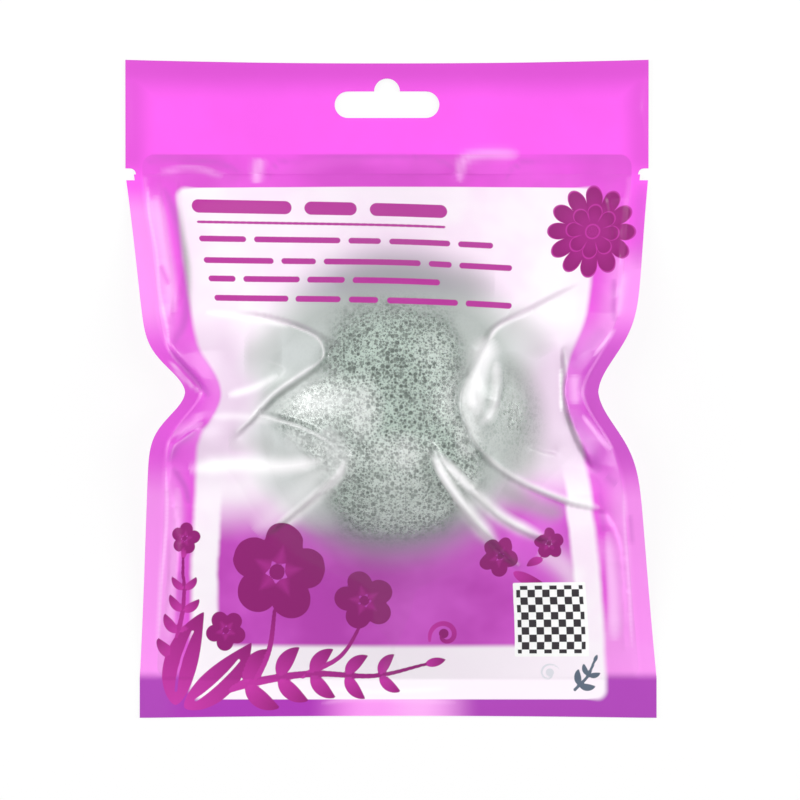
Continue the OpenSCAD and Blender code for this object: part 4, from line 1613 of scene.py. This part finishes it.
# Softboxes: name, place, width and height in metres, and power in watts
SOFTBOXES = [
    ("left_softbox", (-0.45, 0.06, 0.40), 0.22, 0.60, 2.1),
    ("left_low_softbox", (-0.60, 0.0, 0.13), 0.24, 0.80, 2.1),
    ("right_softbox", (0.45, 0.06, 0.40), 0.22, 0.60, 2.1),
    ("right_low_softbox", (0.60, 0.0, 0.13), 0.24, 0.80, 2.1),
    ("top_softbox", (0.0, 0.55, 0.50), 0.60, 0.35, 0.6),
]

# The camera looks straight down: its place in metres, and its lens and sensor in millimetres
CAMERA_PLACE = (0.00174, 0.00199, 0.663)
CAMERA_LENS = 120.0
CAMERA_SENSOR = 36.0

# Half width of the floor, and its gap below the pouch, in metres
FLOOR_HALF = 3.0
FLOOR_GAP = 0.0002


def soft_lamp(name, place, width, height, power):
    """A softbox that faces the puff."""
    light = bpy.data.lights.new(name, "AREA")
    light.shape = "RECTANGLE"
    light.size, light.size_y = width, height
    light.energy = power
    lamp = bpy.data.objects.new(name, light)
    lamp.location = place
    lamp.rotation_euler = (-Vector(place)).to_track_quat("-Z", "Y").to_euler()
    bpy.context.scene.collection.objects.link(lamp)


def make_world():
    """Even light from all round that the camera and reflections see as paper white."""
    world = bpy.data.worlds.new("studio")
    world.use_nodes = True
    nodes, links = world.node_tree.nodes, world.node_tree.links
    path = nodes.new("ShaderNodeLightPath")
    seen = None
    for name in ("Is Camera Ray", "Is Glossy Ray", "Is Transmission Ray"):
        most = nodes.new("ShaderNodeMath")
        most.operation = "MAXIMUM"
        most.inputs[1].default_value = 0.0
        links.new(path.outputs[name], most.inputs[0])
        if seen:
            links.new(seen, most.inputs[1])
        seen = most.outputs[0]
    strength = nodes.new("ShaderNodeMapRange")
    strength.inputs["To Min"].default_value = WORLD_LIGHT
    links.new(seen, strength.inputs["Value"])
    links.new(strength.outputs[0], nodes["Background"].inputs["Strength"])
    nodes["Background"].inputs["Color"].default_value = (*WHITE, 1.0)
    return world


def make_stage():
    """White floor, soft lamps from both sides and the camera straight above."""
    scene = bpy.context.scene
    mesh = bpy.data.meshes.new("floor")
    corners = [(a * FLOOR_HALF, b * FLOOR_HALF, 0) for a, b in ((-1, -1), (1, -1), (1, 1), (-1, 1))]
    mesh.from_pydata(corners, [], [(0, 1, 2, 3)])
    floor = bpy.data.objects.new("floor", mesh)
    floor.location.z = cad_box[0][2] - FLOOR_GAP
    mesh.materials.append(floor_material())
    scene.collection.objects.link(floor)
    for softbox in SOFTBOXES:
        soft_lamp(*softbox)
    scene.world = make_world()
    camera = bpy.data.cameras.new("camera")
    camera.type = "PERSP"
    camera.lens = CAMERA_LENS
    camera.sensor_width = CAMERA_SENSOR
    camera.clip_start = 0.01
    camera.clip_end = 20.0
    eye = bpy.data.objects.new("camera", camera)
    eye.location = CAMERA_PLACE
    scene.collection.objects.link(eye)
    scene.camera = eye
    scene.view_settings.view_transform = "Standard"


# Operators, panel and registration


class PUFFPOUCH_OT_puff(bpy.types.Operator):
    """Add the foam puff"""

    bl_idname = "puffpouch.puff"
    bl_label = "Puff"

    def execute(self, context):
        make_puff()
        return {"FINISHED"}


class PUFFPOUCH_OT_back_film(bpy.types.Operator):
    """Add the back film under the puff"""

    bl_idname = "puffpouch.back_film"
    bl_label = "Back film"

    def execute(self, context):
        make_back_film()
        return {"FINISHED"}


class PUFFPOUCH_OT_front_film(bpy.types.Operator):
    """Add the front film, draped over the puff, with its print"""

    bl_idname = "puffpouch.front_film"
    bl_label = "Front film"

    def execute(self, context):
        make_front_film()
        return {"FINISHED"}


class PUFFPOUCH_OT_header(bpy.types.Operator):
    """Add the header's two films with the hang slot"""

    bl_idname = "puffpouch.header"
    bl_label = "Header"

    def execute(self, context):
        make_header()
        return {"FINISHED"}


class PUFFPOUCH_OT_stage(bpy.types.Operator):
    """Add the floor, the lamps and the camera"""

    bl_idname = "puffpouch.stage"
    bl_label = "Stage"

    def execute(self, context):
        make_stage()
        return {"FINISHED"}


OPERATORS = [
    PUFFPOUCH_OT_puff,
    PUFFPOUCH_OT_back_film,
    PUFFPOUCH_OT_front_film,
    PUFFPOUCH_OT_header,
    PUFFPOUCH_OT_stage,
]


class PUFFPOUCH_PT_panel(bpy.types.Panel):
    """Lists the pieces, sizes and colours"""

    bl_label = "Puff pouch"
    bl_idname = "PUFFPOUCH_PT_panel"
    bl_space_type = "VIEW_3D"
    bl_region_type = "UI"
    bl_category = "Puff pouch"

    def draw(self, context):
        layout = self.layout
        for group in (context.scene.pouch_sizes, context.scene.pouch_colours):
            for name in group.__annotations__:
                layout.prop(group, name)
        for operator in OPERATORS:
            layout.operator(operator.bl_idname)


CLASSES = [PouchSizes, PouchColours, *OPERATORS, PUFFPOUCH_PT_panel]


def register():
    for cls in CLASSES:
        bpy.utils.register_class(cls)
    bpy.types.Scene.pouch_sizes = bpy.props.PointerProperty(type=PouchSizes)
    bpy.types.Scene.pouch_colours = bpy.props.PointerProperty(type=PouchColours)


def unregister():
    del bpy.types.Scene.pouch_colours
    del bpy.types.Scene.pouch_sizes
    for cls in reversed(CLASSES):
        bpy.utils.unregister_class(cls)


def main():
    register()
    for name in ("puff", "back_film", "front_film", "header", "stage"):
        getattr(bpy.ops.puffpouch, name)()


if __name__ == "__main__":
    main()
